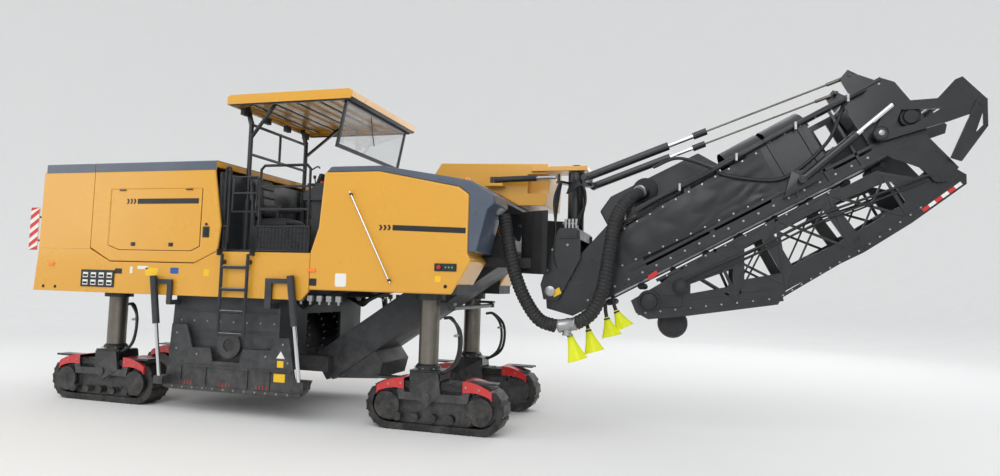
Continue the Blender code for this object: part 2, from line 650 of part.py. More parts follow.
def primary_conveyor():
    """The trough that lifts the millings through the hull, with its belt inside."""
    along = (PRIMARY_HEAD - PRIMARY_FOOT).normalized()
    up = Vector((-along.z, 0, along.x))
    trough = beam(PRIMARY_FOOT, PRIMARY_HEAD, 0.88, 0.42)
    inside = beam(PRIMARY_FOOT - along * 0.1 + up * 0.06, PRIMARY_HEAD + along * 0.1 + up * 0.06, 0.80, 0.40)
    belt = beam(PRIMARY_FOOT - along * 0.10 - up * 0.06, PRIMARY_HEAD + along * 0.06 - up * 0.06, 0.81, 0.20)
    shoe = plate([(-1.42, 0.47), (-0.85, 0.50), (-0.80, 0.70), (-0.95, 0.90), (-1.45, 0.60)], (-0.42, 0.42))
    foot = box((HOUSING_FRONT + GAP, -1.50), (-0.58, 0.58), (0.56, 0.76))
    node(join(cut(trough, inside), belt, shoe, foot), "primary_conveyor", "dark")


# ---------------------------------------------------------------- legs and tracks
def leg(name, x, y, shift):
    """A column with its steering arm, yoke and track frame, turning as one piece."""
    side = -1 if y < 0 else 1
    column = rod((x, y, YOKE_TOP - 0.05), (x, y, COLUMN_TOP), COLUMN_R, 16)
    cap = box((x - 0.17, x + 0.22), (y - 0.16, y + 0.16), (YOKE_TOP - 0.12, YOKE_TOP))
    join(column, cap)
    pivot_x = x + 0.5 * shift
    for face in (-1, 1):
        y0 = y + face * (TRACK_WIDTH / 2 + 0.012)
        cheek = plate([(x - 0.15, YOKE_TOP - 0.02), (x - 0.15, 0.485), (pivot_x, 0.30), (x + 0.24, 0.452),
                       (x + 0.20, YOKE_TOP - 0.02)], sorted((y0, y0 + face * 0.03)))
        bridge = box((x - 0.13, x + 0.16), sorted((y + face * 0.12, y0 + face * 0.021)), (YOKE_TOP - 0.11, YOKE_TOP - 0.03))
        join(column, bridge, cheek)
    length = TRACK_LENGTH / 2 - TRACK_HEIGHT / 2
    mid = TRACK_HEIGHT / 2 + 0.005
    inner = TRACK_HEIGHT / 2 - CHAIN_DEPTH - SHOE_DEPTH - GAP
    cx = x + shift
    reach = length - 0.16
    core = plate([(cx - reach, mid - inner), (cx + reach, mid - inner), (cx + reach, mid + inner - 0.002),
                  (cx - reach, mid + inner - 0.002)], (y - 0.10, y + 0.10))
    join(column, core)
    for end in (-1, 1):
        wheel = rod((cx + end * length, y - 0.11, mid), (cx + end * length, y + 0.11, mid), inner - 0.012, 16)
        join(column, wheel)
    join(column, rod((pivot_x, y - 0.21, 0.42), (pivot_x, y + 0.21, 0.42), 0.05, 12))
    low, high = 0.37, TRACK_HEIGHT + 0.045
    skirt = []
    for end in (-1, 1):
        gx = cx + end * length
        half = [(gx - end * 0.22, 0.46), (gx - end * 0.19, high), (gx + end * 0.20, high),
                (gx + end * 0.20, high - 0.025), (gx - end * 0.10, high - 0.03), (gx - end * 0.15, low)]
        skirt += half[::-1] if end < 0 else half
        shelf = box(sorted((gx - end * 0.14, gx + end * 0.19)), sorted((y + side * 0.01, y + side * (TRACK_WIDTH / 2 + 0.02))),
                    (high - 0.022, high - 0.003))
        join(column, shelf)
    outer = sorted((y + side * (TRACK_WIDTH / 2 + 0.014), y + side * (TRACK_WIDTH / 2 + 0.033)))
    join(column, plate(skirt, outer))
    if name.startswith("front"):
        arm = box((x, x + ARM_REACH + 0.04), (y - 0.06, y + 0.06), (ARM_Z, ARM_Z + 0.035))
        join(column, arm, rod((x + ARM_REACH, y, ARM_Z - 0.06), (x + ARM_REACH, y, ARM_Z + 0.01), 0.02))
    node(column, "leg_" + name, "column", (x, y, 0))
    loop = track_loop(cx, y, mid)
    node(loop, "track_" + name, "iron", (x, y, 0))


def track_loop(cx, y, mid):
    """One closed chain with its shoes in the outline: a stadium with teeth around it."""
    radius = TRACK_HEIGHT / 2
    straight = TRACK_LENGTH - TRACK_HEIGHT
    total = 2 * straight + 2 * math.pi * radius

    def at(distance, r):
        d = distance % total
        arc = math.pi * radius
        if d < straight:
            return cx - straight / 2 + d, mid - r
        d -= straight
        if d < arc:
            t = -math.pi / 2 + d / radius
            return cx + straight / 2 + r * math.cos(t), mid + r * math.sin(t)
        d -= arc
        if d < straight:
            return cx + straight / 2 - d, mid + r
        t = math.pi / 2 + (d - straight) / radius
        return cx - straight / 2 + r * math.cos(t), mid + r * math.sin(t)

    pitch = total / SHOE_COUNT
    outer = []
    for i in range(SHOE_COUNT):
        start = i * pitch
        outer += [at(start + 0.14 * pitch, radius - SHOE_DEPTH), at(start + 0.16 * pitch, radius),
                  at(start + 0.84 * pitch, radius), at(start + 0.86 * pitch, radius - SHOE_DEPTH)]
    inner_r = radius - SHOE_DEPTH - CHAIN_DEPTH
    inner = [at(total * i / 28, inner_r) for i in range(28)]
    return plate(outer, (y - TRACK_WIDTH / 2, y + TRACK_WIDTH / 2), (inner,))


def steering():
    """The tie rod between the front legs' steering arms."""
    x = ARM_REACH
    z = ARM_Z - 0.03
    bar = rod((x, -GAUGE / 2, z), (x, GAUGE / 2, z), 0.028)
    for side in (-1, 1):
        y = side * GAUGE / 2
        join(bar, rod((x, y, z - 0.027), (x, y, z + 0.027), 0.045))
    for side in (-1, 1):
        y = side * GAUGE / 2
        room = RUN if side < 0 else 0.008
        cut(bar, rod((x, y, z - 0.1), (x, y, z + 0.1), 0.02 + room))
    node(bar, "tie_rod", "dark", (x, -GAUGE / 2, z))


# ---------------------------------------------------------------- discharge conveyor
ALONG = Vector((math.cos(BOOM_ANGLE), 0, math.sin(BOOM_ANGLE)))
UP = Vector((-math.sin(BOOM_ANGLE), 0, math.cos(BOOM_ANGLE)))
BOOM_TOP = 0.42
BOOM_LOW = -0.38
ARM_IN, ARM_OUT = 0.550, 0.580


def boom(s, n, y=0.0):
    """A point by its distance along the conveyor and square to it, from the lift pivot."""
    return Vector((BOOM_PIVOT[0], y, BOOM_PIVOT[1])) + ALONG * s + UP * n


def boom_outline(points):
    return [(boom(s, n).x, boom(s, n).z) for s, n in points]


def hopper():
    """The rubber-lined half ring round the transfer point, carried by the front housings."""
    ring = rod((SLEW_X, 0, 1.92), (SLEW_X, 0, 2.66), 0.745, 32)
    bore = rod((SLEW_X, 0, 1.8), (SLEW_X, 0, 2.8), 0.715, 32)
    front = box((SLEW_X - 0.22, 3), (-1, 1), (1.8, 2.8))
    window = box((0.5, 1.3), (-0.44, 0.44), (2.02, 2.52))
    cut(ring, bore, front, window)
    for side in (-1, 1):
        join(ring, box((0.35, 1.21), sorted((side * 0.56, side * TUNNEL_HALF)), (1.97, 2.09)))
    node(ring, "transfer_hopper", "dark")


def mast():
    """The slewing mast: a column over a fork that carries the conveyor's lift hinge."""
    column = rod((SLEW_X, 0, 2.40), (SLEW_X, 0, MAST_TOP), 0.105, 16)
    stub = rod((SLEW_X, 0, MAST_TOP - 0.05), (SLEW_X, 0, MAST_TOP + 0.10), 0.05, 16)
    cross = box((SLEW_X - 0.10, SLEW_X + 0.12), (-0.58, 0.58), (2.34, 2.46))
    join(column, stub, cross)
    for side in (-1, 1):
        cheek = plate([(SLEW_X - 0.12, 2.44), (1.30, 1.78), (1.34, 1.60), (1.52, 1.60), (SLEW_X + 0.16, 2.10),
                       (SLEW_X + 0.14, 2.44)], sorted((side * 0.515, side * 0.555)))
        tab = box((SLEW_X, LIFT_BASE[0] + 0.03), sorted((side * 0.02, side * 0.06)), (LIFT_BASE[1] - 0.06, LIFT_BASE[1] + 0.06))
        join(column, cheek, tab)
    bar = rod((LIFT_BASE[0], -0.43, LIFT_BASE[1]), (LIFT_BASE[0], 0.43, LIFT_BASE[1]), 0.03)
    arm = beam((SLEW_X, 0, SLEW_RAM_Z - 0.06), (*SLEW_RAM_EYE, SLEW_RAM_Z - 0.06), 0.08, 0.03)
    pin = rod((*SLEW_RAM_EYE, SLEW_RAM_Z - 0.07), (*SLEW_RAM_EYE, SLEW_RAM_Z + 0.04), 0.02)
    join(column, bar, arm, pin)
    for side in (-1, 1):
        cut(column, rod((BOOM_PIVOT[0], side * 0.45, BOOM_PIVOT[1]), (BOOM_PIVOT[0], side * 0.7, BOOM_PIVOT[1]),
                        0.045 + RUN, 20))
    node(column, "slew_mast", "dark", (SLEW_X, 0, 0))


def ram(name, base, eye, y, out_r, rod_r, barrel_length, lug, pivot):
    """A barrel pinned at its base, with its rod running to just short of its open eye."""
    base, eye = Vector((base[0], y, base[1])), Vector((eye[0], y, eye[1]))
    along = (eye - base).normalized()
    mouth = base + along * barrel_length
    for tag, side in (("right", 1), ("left", -1)):
        def at(point):
            return Vector((point.x, point.y * side, point.z))
        shell = rod(at(base + along * 0.02), at(mouth), out_r)
        ear = rod(at(base) - Vector((0, lug, 0)), at(base) + Vector((0, lug, 0)), out_r)
        join(shell, ear)
        cut(shell, rod(at(base + along * 0.12), at(mouth + along * 0.1), rod_r + RUN),
            rod(at(base) - Vector((0, 0.1, 0)), at(base) + Vector((0, 0.1, 0)), pivot + 2 * RUN))
        node(shell, name + "_barrel_" + tag, "dark", at(base))
        yield at, base + along * 0.34, eye, along, mouth, tag


def lift_rams():
    for at, start, eye, along, mouth, tag in ram("lift", LIFT_BASE, LIFT_EYE, -LIFT_Y, 0.050, 0.026, 1.05, 0.045, 0.03):
        clevis_at = mouth + along * 0.36
        shape = rod(at(start), at(clevis_at), 0.026)
        clevis = rod(at(clevis_at - along * 0.06), at(clevis_at + along * 0.10), 0.042, 12)
        cable = rod(at(clevis_at), at(eye - along * 0.16), 0.012, 10)
        thimble = rod(at(eye - along * 0.24), at(eye - along * 0.055), 0.022, 10)
        node(join(shape, clevis, cable, thimble), "lift_rod_" + tag, "chrome", at(start))


def fold_rams():
    for at, start, eye, along, _, tag in ram("fold", FOLD_RAM_BASE, RAM_PIN, -FOLD_RAM_Y, 0.045, 0.026, 0.72, 0.04, 0.028):
        shape = rod(at(start), at(eye - along * 0.04), 0.026)
        node(shape, "fold_rod_" + tag, "chrome", at(start))


def conveyor():
    """The fixed section: windowed side frames tied together over the belt."""
    outline = boom_outline([(-0.14, -0.16), (0.10, BOOM_LOW), (BOOM_END - 0.32, BOOM_LOW)])
    outline += boom_outline([(BOOM_END + 0.10, BOOM_LOW + 0.05), (BOOM_END + 0.16, -0.20), (BOOM_END + 0.10, 0.30),
                             (BOOM_END, BOOM_TOP), (1.05, BOOM_TOP), (0.45, 0.20), (-0.02, 0.12)])
    sill = BOOM_LOW + 0.13
    head = BOOM_TOP - 0.07
    windows = []
    for s0, s1 in ((1.15, 1.95), (2.01, 2.70), (3.42, 3.85)):
        windows.append(boom_outline([(s0, sill), (s1, sill), (s1, head), (s0, head)]))
    first = plate(outline, (-BOOM_HALF, -BOOM_HALF + 0.035), windows)
    second = plate(outline, (BOOM_HALF - 0.035, BOOM_HALF), windows)
    inner = BOOM_HALF - 0.02
    floor = beam(boom(0.16, BOOM_LOW + 0.03), boom(BOOM_END - 0.35, BOOM_LOW + 0.03), 2 * inner, 0.03)
    join(first, floor, second)
    for s in (1.98, 3.40):
        join(first, rod(boom(s, BOOM_TOP - 0.035, -inner), boom(s, BOOM_TOP - 0.035, inner), 0.025, 10))
    for side in (-1, 1):
        pivot = rod((BOOM_PIVOT[0], side * inner, BOOM_PIVOT[1]), (BOOM_PIVOT[0], side * 0.565, BOOM_PIVOT[1]), 0.045, 20)
        arm_pin = rod((ARM_PIN[0], side * inner, ARM_PIN[1]), (ARM_PIN[0], side * (ARM_OUT + 0.01), ARM_PIN[1]), 0.03)
        bracket = plate([(4.02, 2.80), (4.42, 3.02), (4.30, 3.12), (4.10, 3.10)], sorted((side * inner, side * (FOLD_RAM_Y - 0.047))))
        ram_pin = rod((FOLD_RAM_BASE[0], side * (FOLD_RAM_Y - 0.05), FOLD_RAM_BASE[1]),
                      (FOLD_RAM_BASE[0], side * (FOLD_RAM_Y + 0.045), FOLD_RAM_BASE[1]), 0.028)
        horn = plate([(4.62, 4.16), (4.70, 4.26), (4.80, 4.20), (5.12, 4.06), (5.02, 3.90), (4.86, 3.75), (4.78, 3.86)],
                     sorted((side * (LIFT_Y + 0.03), side * (LIFT_Y + 0.06))))
        eye = rod((LIFT_EYE[0], side * 0.28, LIFT_EYE[1]), (LIFT_EYE[0], side * (LIFT_Y + 0.07), LIFT_EYE[1]), 0.022, 12)
        join(first, pivot, arm_pin, bracket, ram_pin, horn, eye)
    tie_at = boom(3.96, BOOM_TOP - 0.05)
    join(first, rod((tie_at.x, -inner, tie_at.z), (tie_at.x, inner, tie_at.z), 0.035, 12))
    ears = [(5.05, 3.26), (5.36, 3.13), (5.50, 2.97), (5.60, 2.97), (5.72, 3.12), (5.62, 3.24), (5.42, 3.48), (5.30, 3.46)]
    for side in (-1, 1):
        join(first, plate(ears, sorted((side * (BOOM_HALF - 0.001), side * (BOOM_HALF + 0.030)))))
    for side in (-1, 1):
        cut(first, rod((FOLD_HINGE[0], side * 0.4, FOLD_HINGE[1]), (FOLD_HINGE[0], side * 0.6, FOLD_HINGE[1]), 0.035 + RUN, 20))
    node(first, "conveyor_frame", "dark", (BOOM_PIVOT[0], 0, BOOM_PIVOT[1]))
    belt = beam(boom(0.10, -0.12), boom(BOOM_END + 0.02, -0.12), 2 * (BOOM_HALF - 0.035 - CLEAR), 0.20)
    noses = [rod(boom(s, -0.12, -BOOM_HALF + 0.035 + CLEAR), boom(s, -0.12, BOOM_HALF - 0.035 - CLEAR), 0.10, 20)
             for s in (0.10, BOOM_END + 0.02)]
    axles = [rod(boom(s, -0.12, -BOOM_HALF + 0.035 + GAP), boom(s, -0.12, BOOM_HALF - 0.035 - GAP), 0.04, 12)
             for s in (0.10, BOOM_END + 0.02)]
    node(join(belt, *noses, *axles), "conveyor_belt", "rubber")

    def tarp():
        sheet = boom_outline([(0.92, 0.24), (1.06, 0.34), (2.86, 0.32), (2.84, -0.20), (1.02, -0.17), (0.86, -0.10)])
        return plate(sheet, (-BOOM_HALF - 0.012, -BOOM_HALF - GAP))
    pair(tarp, "side_tarp", "tarp")
    hood_shape = plate(boom_outline([(0.95, BOOM_TOP + GAP), (2.45, BOOM_TOP + GAP), (2.30, BOOM_TOP + 0.26),
                                     (1.15, BOOM_TOP + 0.30), (0.95, BOOM_TOP + 0.20)]), (-0.24, BOOM_HALF - 0.02))
    node(hood_shape, "belt_cover", "dark")


def folded_section():
    """The outer section, folded back under the fixed one, with its belt trough and wheel."""
    outline = [(2.37, 1.62), (2.43, 1.48), (2.57, 1.41), (2.97, 1.46), (3.97, 1.63), (4.06, 1.80), (4.83, 2.22),
               (5.29, 2.54), (5.80, 2.95), (5.80, 3.05), (5.62, 3.17), (5.50, 3.17), (5.34, 3.02)]
    outline += boom_outline([(3.78, -0.46), (1.40, -0.46), (1.20, -0.50)])
    lower = [(3.04, 1.72), (3.50, 1.82), (3.50, 2.02), (3.04, 1.84)]
    bays = [[(3.62, 1.90), (4.00, 1.98), (3.80, 2.36), (3.62, 2.26)],
            [(4.12, 2.06), (4.64, 2.36), (4.42, 2.70), (3.92, 2.42)],
            [(4.76, 2.44), (5.24, 2.76), (5.10, 3.00), (4.54, 2.76)]]
    face = BOOM_HALF - CLEAR
    inner = face - 0.02
    first = plate(outline, (-face, -face + 0.035), (lower, *bays))
    second = plate(outline, (face - 0.035, face), (lower, *bays))
    trough = beam((2.62, 0, 1.50), (4.02, 0, 1.74), 2 * inner, 0.14)
    trough_up = beam((3.98, 0, 1.80), (5.30, 0, 2.62), 2 * inner, 0.10)
    trough_end = beam((5.22, 0, 2.57), (5.74, 0, 2.99), 2 * inner, 0.10)
    join(first, trough, trough_up, trough_end, second)
    head = rod((2.58, -inner, 1.62), (2.58, inner, 1.62), 0.12, 20)
    join(first, head)
    wheel = rod((2.84, -0.34, 1.37), (2.84, -0.22, 1.37), 0.17, 16)
    post = box((2.78, 2.90), (-0.30, -0.26), (1.37, 1.52))
    join(first, post, wheel)
    for side in (-1, 1):
        join(first, rod((FOLD_HINGE[0], side * inner, FOLD_HINGE[1]), (FOLD_HINGE[0], side * (BOOM_HALF + 0.028), FOLD_HINGE[1]),
                        0.035, 20))
    return first


def fold_parts():
    """The folded section with the arms and links that swing it out."""
    section = folded_section()
    node(section, "folded_section", "dark", (FOLD_HINGE[0], 0, FOLD_HINGE[1]))
    outline = [(5.07, 3.83), (5.52, 3.85), (5.68, 4.04), (5.75, 4.07), (5.97, 3.82), (5.95, 3.72), (5.62, 3.60),
               (4.97, 3.40), (4.89, 3.46), (5.04, 3.76)]
    window = [(5.18, 3.74), (5.55, 3.74), (5.30, 3.58), (5.10, 3.54)]
    arm = plate(outline, (-ARM_OUT, -ARM_IN), (window,))
    other = plate(outline, (ARM_IN, ARM_OUT), (window,))
    tube = rod((5.66, -ARM_OUT + 0.01, 3.90), (5.66, ARM_OUT - 0.01, 3.90), 0.04)
    join(arm, tube, other)
    for side in (-1, 1):
        join(arm, rod((LINK_PIN[0], side * ARM_IN, LINK_PIN[1]), (LINK_PIN[0], side * 0.615, LINK_PIN[1]), 0.025),
             rod((RAM_PIN[0], side * ARM_IN, RAM_PIN[1]), (RAM_PIN[0], side * 0.62, RAM_PIN[1]), 0.02))
        cut(arm, rod((ARM_PIN[0], side * 0.5, ARM_PIN[1]), (ARM_PIN[0], side * 0.7, ARM_PIN[1]), 0.03 + 2 * RUN))
    node(arm, "fold_arm", "dark", (ARM_PIN[0], 0, ARM_PIN[1]))
    strip = [(LINK_PIN[0] + 0.05, LINK_PIN[1] + 0.05), (LINK_PIN[0] + 0.05, LINK_PIN[1] - 0.24), (LINK_END[0] + 0.06, LINK_END[1] - 0.02),
             (LINK_END[0] - 0.04, LINK_END[1] + 0.02), (LINK_PIN[0] - 0.07, LINK_PIN[1] - 0.02), (LINK_PIN[0] - 0.04, LINK_PIN[1] + 0.05)]
    slot = [(LINK_PIN[0] + 0.01, LINK_PIN[1] - 0.08), (LINK_PIN[0] + 0.01, LINK_PIN[1] - 0.22), (LINK_PIN[0] - 0.06, LINK_PIN[1] - 0.30)]
    link = plate(strip, (-0.612, -ARM_OUT - 0.006), (slot,))
    cut(link, rod((LINK_PIN[0], -0.7, LINK_PIN[1]), (LINK_PIN[0], -0.55, LINK_PIN[1]), 0.025 + 2 * RUN))
    node(link, "fold_link", "dark", (LINK_PIN[0], 0, LINK_PIN[1]))


def slew_ram():
    """The ram that swings the mast, lying flat under the bridge."""
    base = Vector((*SLEW_RAM_BASE, SLEW_RAM_Z))
    eye = Vector((*SLEW_RAM_EYE, SLEW_RAM_Z))
    along = (eye - base).normalized()
    shell = rod(base + along * 0.02, base + along * 0.61, 0.04)
    ear = rod(base - Vector((0, 0, 0.035)), base + Vector((0, 0, 0.035)), 0.045)
    join(shell, ear)
    cut(shell, rod(base + along * 0.085, base + along * 0.7, 0.022 + RUN),
        rod(base - Vector((0, 0, 0.1)), base + Vector((0, 0, 0.1)), 0.022 + 2 * RUN))
    node(shell, "slew_barrel", "yellow", base)
    seat = base + along * 0.35
    node(rod(seat, eye - along * 0.035, 0.022), "slew_rod", "chrome", seat)


# ---------------------------------------------------------------- suction hose
HOSE_R = 0.078
HOSE_LOW = (1.56, -0.80, 1.30)
HOSE_A = [(0.8702, -0.72, 2.615), (0.90, -0.73, 2.45), (0.96, -0.77, 2.20), (1.05, -0.80, 1.88), (1.18, -0.80, 1.59),
          (1.35, -0.80, 1.37), HOSE_LOW]
HOSE_B = [(1.78, -0.80, 1.34), (1.95, -0.80, 1.46), (2.06, -0.79, 1.68), (2.11, -0.77, 1.92), (2.15, -0.74, 2.22),
          (2.20, -0.68, 2.55), (2.33, -0.545, 2.80), (2.50, -0.2845, 2.93)]


def hoses():
    """The dust suction hose in its two lengths, with the tee that joins them."""
    node(pipe(HOSE_A, HOSE_R, True, 2), "suction_hose_rear", "rubber")
    low = Vector(HOSE_LOW)
    high = Vector(HOSE_B[0])
    axis = (high - low).normalized()
    path = catmull(HOSE_A, 4)
    lean = (path[-1] - path[-2]).angle(axis)
    tee = rod(low + axis * (HOSE_R * math.sin(lean) + 0.0003), high + axis * 0.02, HOSE_R - 0.004, 16)
    spout = rod(low.lerp(high, 0.5), low.lerp(high, 0.5) - Vector((0, 0, 0.11)), 0.05)
    node(join(pipe(HOSE_B, HOSE_R, True, 2), tee, spout), "suction_hose_front", "rubber")


def centre_machine():
    """Puts the middle of the footprint at the world origin."""
    bpy.context.view_layer.update()
    low = [1e9, 1e9, 1e9]
    high = [-1e9, -1e9, -1e9]
    graph = bpy.context.evaluated_depsgraph_get()
    for obj in NODES:
        shape = obj.evaluated_get(graph)
        for vertex in shape.data.vertices:
            place = shape.matrix_world @ vertex.co
            for i in range(3):
                low[i] = min(low[i], place[i])
                high[i] = max(high[i], place[i])
    ROOT.location = (-(low[0] + high[0]) / 2, -(low[1] + high[1]) / 2, -low[2])
    bpy.context.view_layer.update()


main_frame()
hull_panels()
rear_housing()
hood()
front_hull()
platform()
guard_rails()
seats()
canopy()
ladders()
drum_housing()
milling_drum()
side_plates()
scraper()
primary_conveyor()
for leg_name, (leg_x, leg_y, leg_shift, _) in LEGS.items():
    leg(leg_name, leg_x, leg_y, leg_shift)
steering()
hopper()
mast()
lift_rams()
conveyor()
fold_parts()
fold_rams()
slew_ram()
hoses()
centre_machine()
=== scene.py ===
"""Finished look of a tracked cold planer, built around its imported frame.

Lengths are metres. Places are given from the front steering axis on the ground, and DATUM carries them to
the frame.
"""

import json
import logging
import math
from dataclasses import dataclass, field
from enum import Enum
from typing import Callable, Sequence

import bmesh
import bpy
import numpy as np
from mathutils import Matrix, Vector

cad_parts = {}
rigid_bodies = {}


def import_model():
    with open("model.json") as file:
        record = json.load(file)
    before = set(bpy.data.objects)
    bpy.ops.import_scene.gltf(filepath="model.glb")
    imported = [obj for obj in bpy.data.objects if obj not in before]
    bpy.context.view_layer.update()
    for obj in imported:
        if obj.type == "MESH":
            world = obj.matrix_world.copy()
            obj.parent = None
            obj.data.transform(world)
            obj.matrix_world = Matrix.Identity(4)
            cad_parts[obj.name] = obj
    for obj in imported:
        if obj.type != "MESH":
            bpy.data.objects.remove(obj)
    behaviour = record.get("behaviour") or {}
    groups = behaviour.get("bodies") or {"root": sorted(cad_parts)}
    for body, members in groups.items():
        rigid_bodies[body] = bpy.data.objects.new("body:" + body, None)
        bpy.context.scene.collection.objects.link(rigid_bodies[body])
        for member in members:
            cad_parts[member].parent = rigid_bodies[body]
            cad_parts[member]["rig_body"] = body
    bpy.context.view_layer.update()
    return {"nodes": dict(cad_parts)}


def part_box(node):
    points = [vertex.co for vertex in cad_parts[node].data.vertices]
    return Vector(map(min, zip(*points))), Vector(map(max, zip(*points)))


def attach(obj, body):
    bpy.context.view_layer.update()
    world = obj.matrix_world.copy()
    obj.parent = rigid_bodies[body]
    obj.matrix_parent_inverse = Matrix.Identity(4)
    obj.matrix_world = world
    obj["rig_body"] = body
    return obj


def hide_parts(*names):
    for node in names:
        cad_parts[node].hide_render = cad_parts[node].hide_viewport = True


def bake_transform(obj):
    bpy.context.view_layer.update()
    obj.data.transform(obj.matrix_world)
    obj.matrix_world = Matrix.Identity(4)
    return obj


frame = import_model()

log = logging.getLogger("planer")
Point = Sequence[float]
Outline = Sequence[tuple[float, float]]

DRUM_PLACE = np.array([-2.62, 0.0, 0.89])        # the drum's axis, from the front steering axis
DATUM = (np.array(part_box("milling_drum")[0]) + np.array(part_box("milling_drum")[1])) / 2 - DRUM_PLACE
SIDES = (-1, 1)
HULL = 1.22                                      # half width over the hull's skin
VINYL = 0.0012                                   # a sticker's thickness
MILLIMETRE = 0.001


# ---------------------------------------------------------------- finishes
def linear(code: str) -> tuple[float, float, float, float]:
    """Turns an sRGB hex code into linear light.

    Args:
        code: six hex digits after a hash sign.

    Returns:
        Red, green, blue and an alpha of one.
    """
    channels = [int(code[i:i + 2], 16) / 255 for i in (1, 3, 5)]
    light = [c / 12.92 if c <= 0.04045 else ((c + 0.055) / 1.055) ** 2.4 for c in channels]
    return (light[0], light[1], light[2], 1.0)


def add_node(tree: bpy.types.NodeTree, kind: str, **inputs: object) -> bpy.types.Node:
    """Adds a shader node with its settings and links.

    Args:
        tree: the material's node tree.
        kind: the node's type name without its ShaderNode prefix.
        inputs: a property of the node, or an input socket with its spaces as underscores; a value that is
        a socket is
            linked.

    Returns:
        The new node.
    """
    node = tree.nodes.new("ShaderNode" + kind)
    for key, value in inputs.items():
        if hasattr(node, key):
            setattr(node, key, value)
            continue
        name = key.rstrip("_").replace("_", " ")
        socket = node.inputs[int(name[1:])] if name[0] == "#" or name[1:].isdigit() else node.inputs[name]
        if isinstance(value, bpy.types.NodeSocket):
            tree.links.new(value, socket)
        else:
            socket.default_value = value
    return node


class Weave(Enum):
    """What the surface carries besides its grain."""
    NONE = 0
    CLOTH = 1            # crossed threads
    BRUSHED = 2          # fine lines along one way


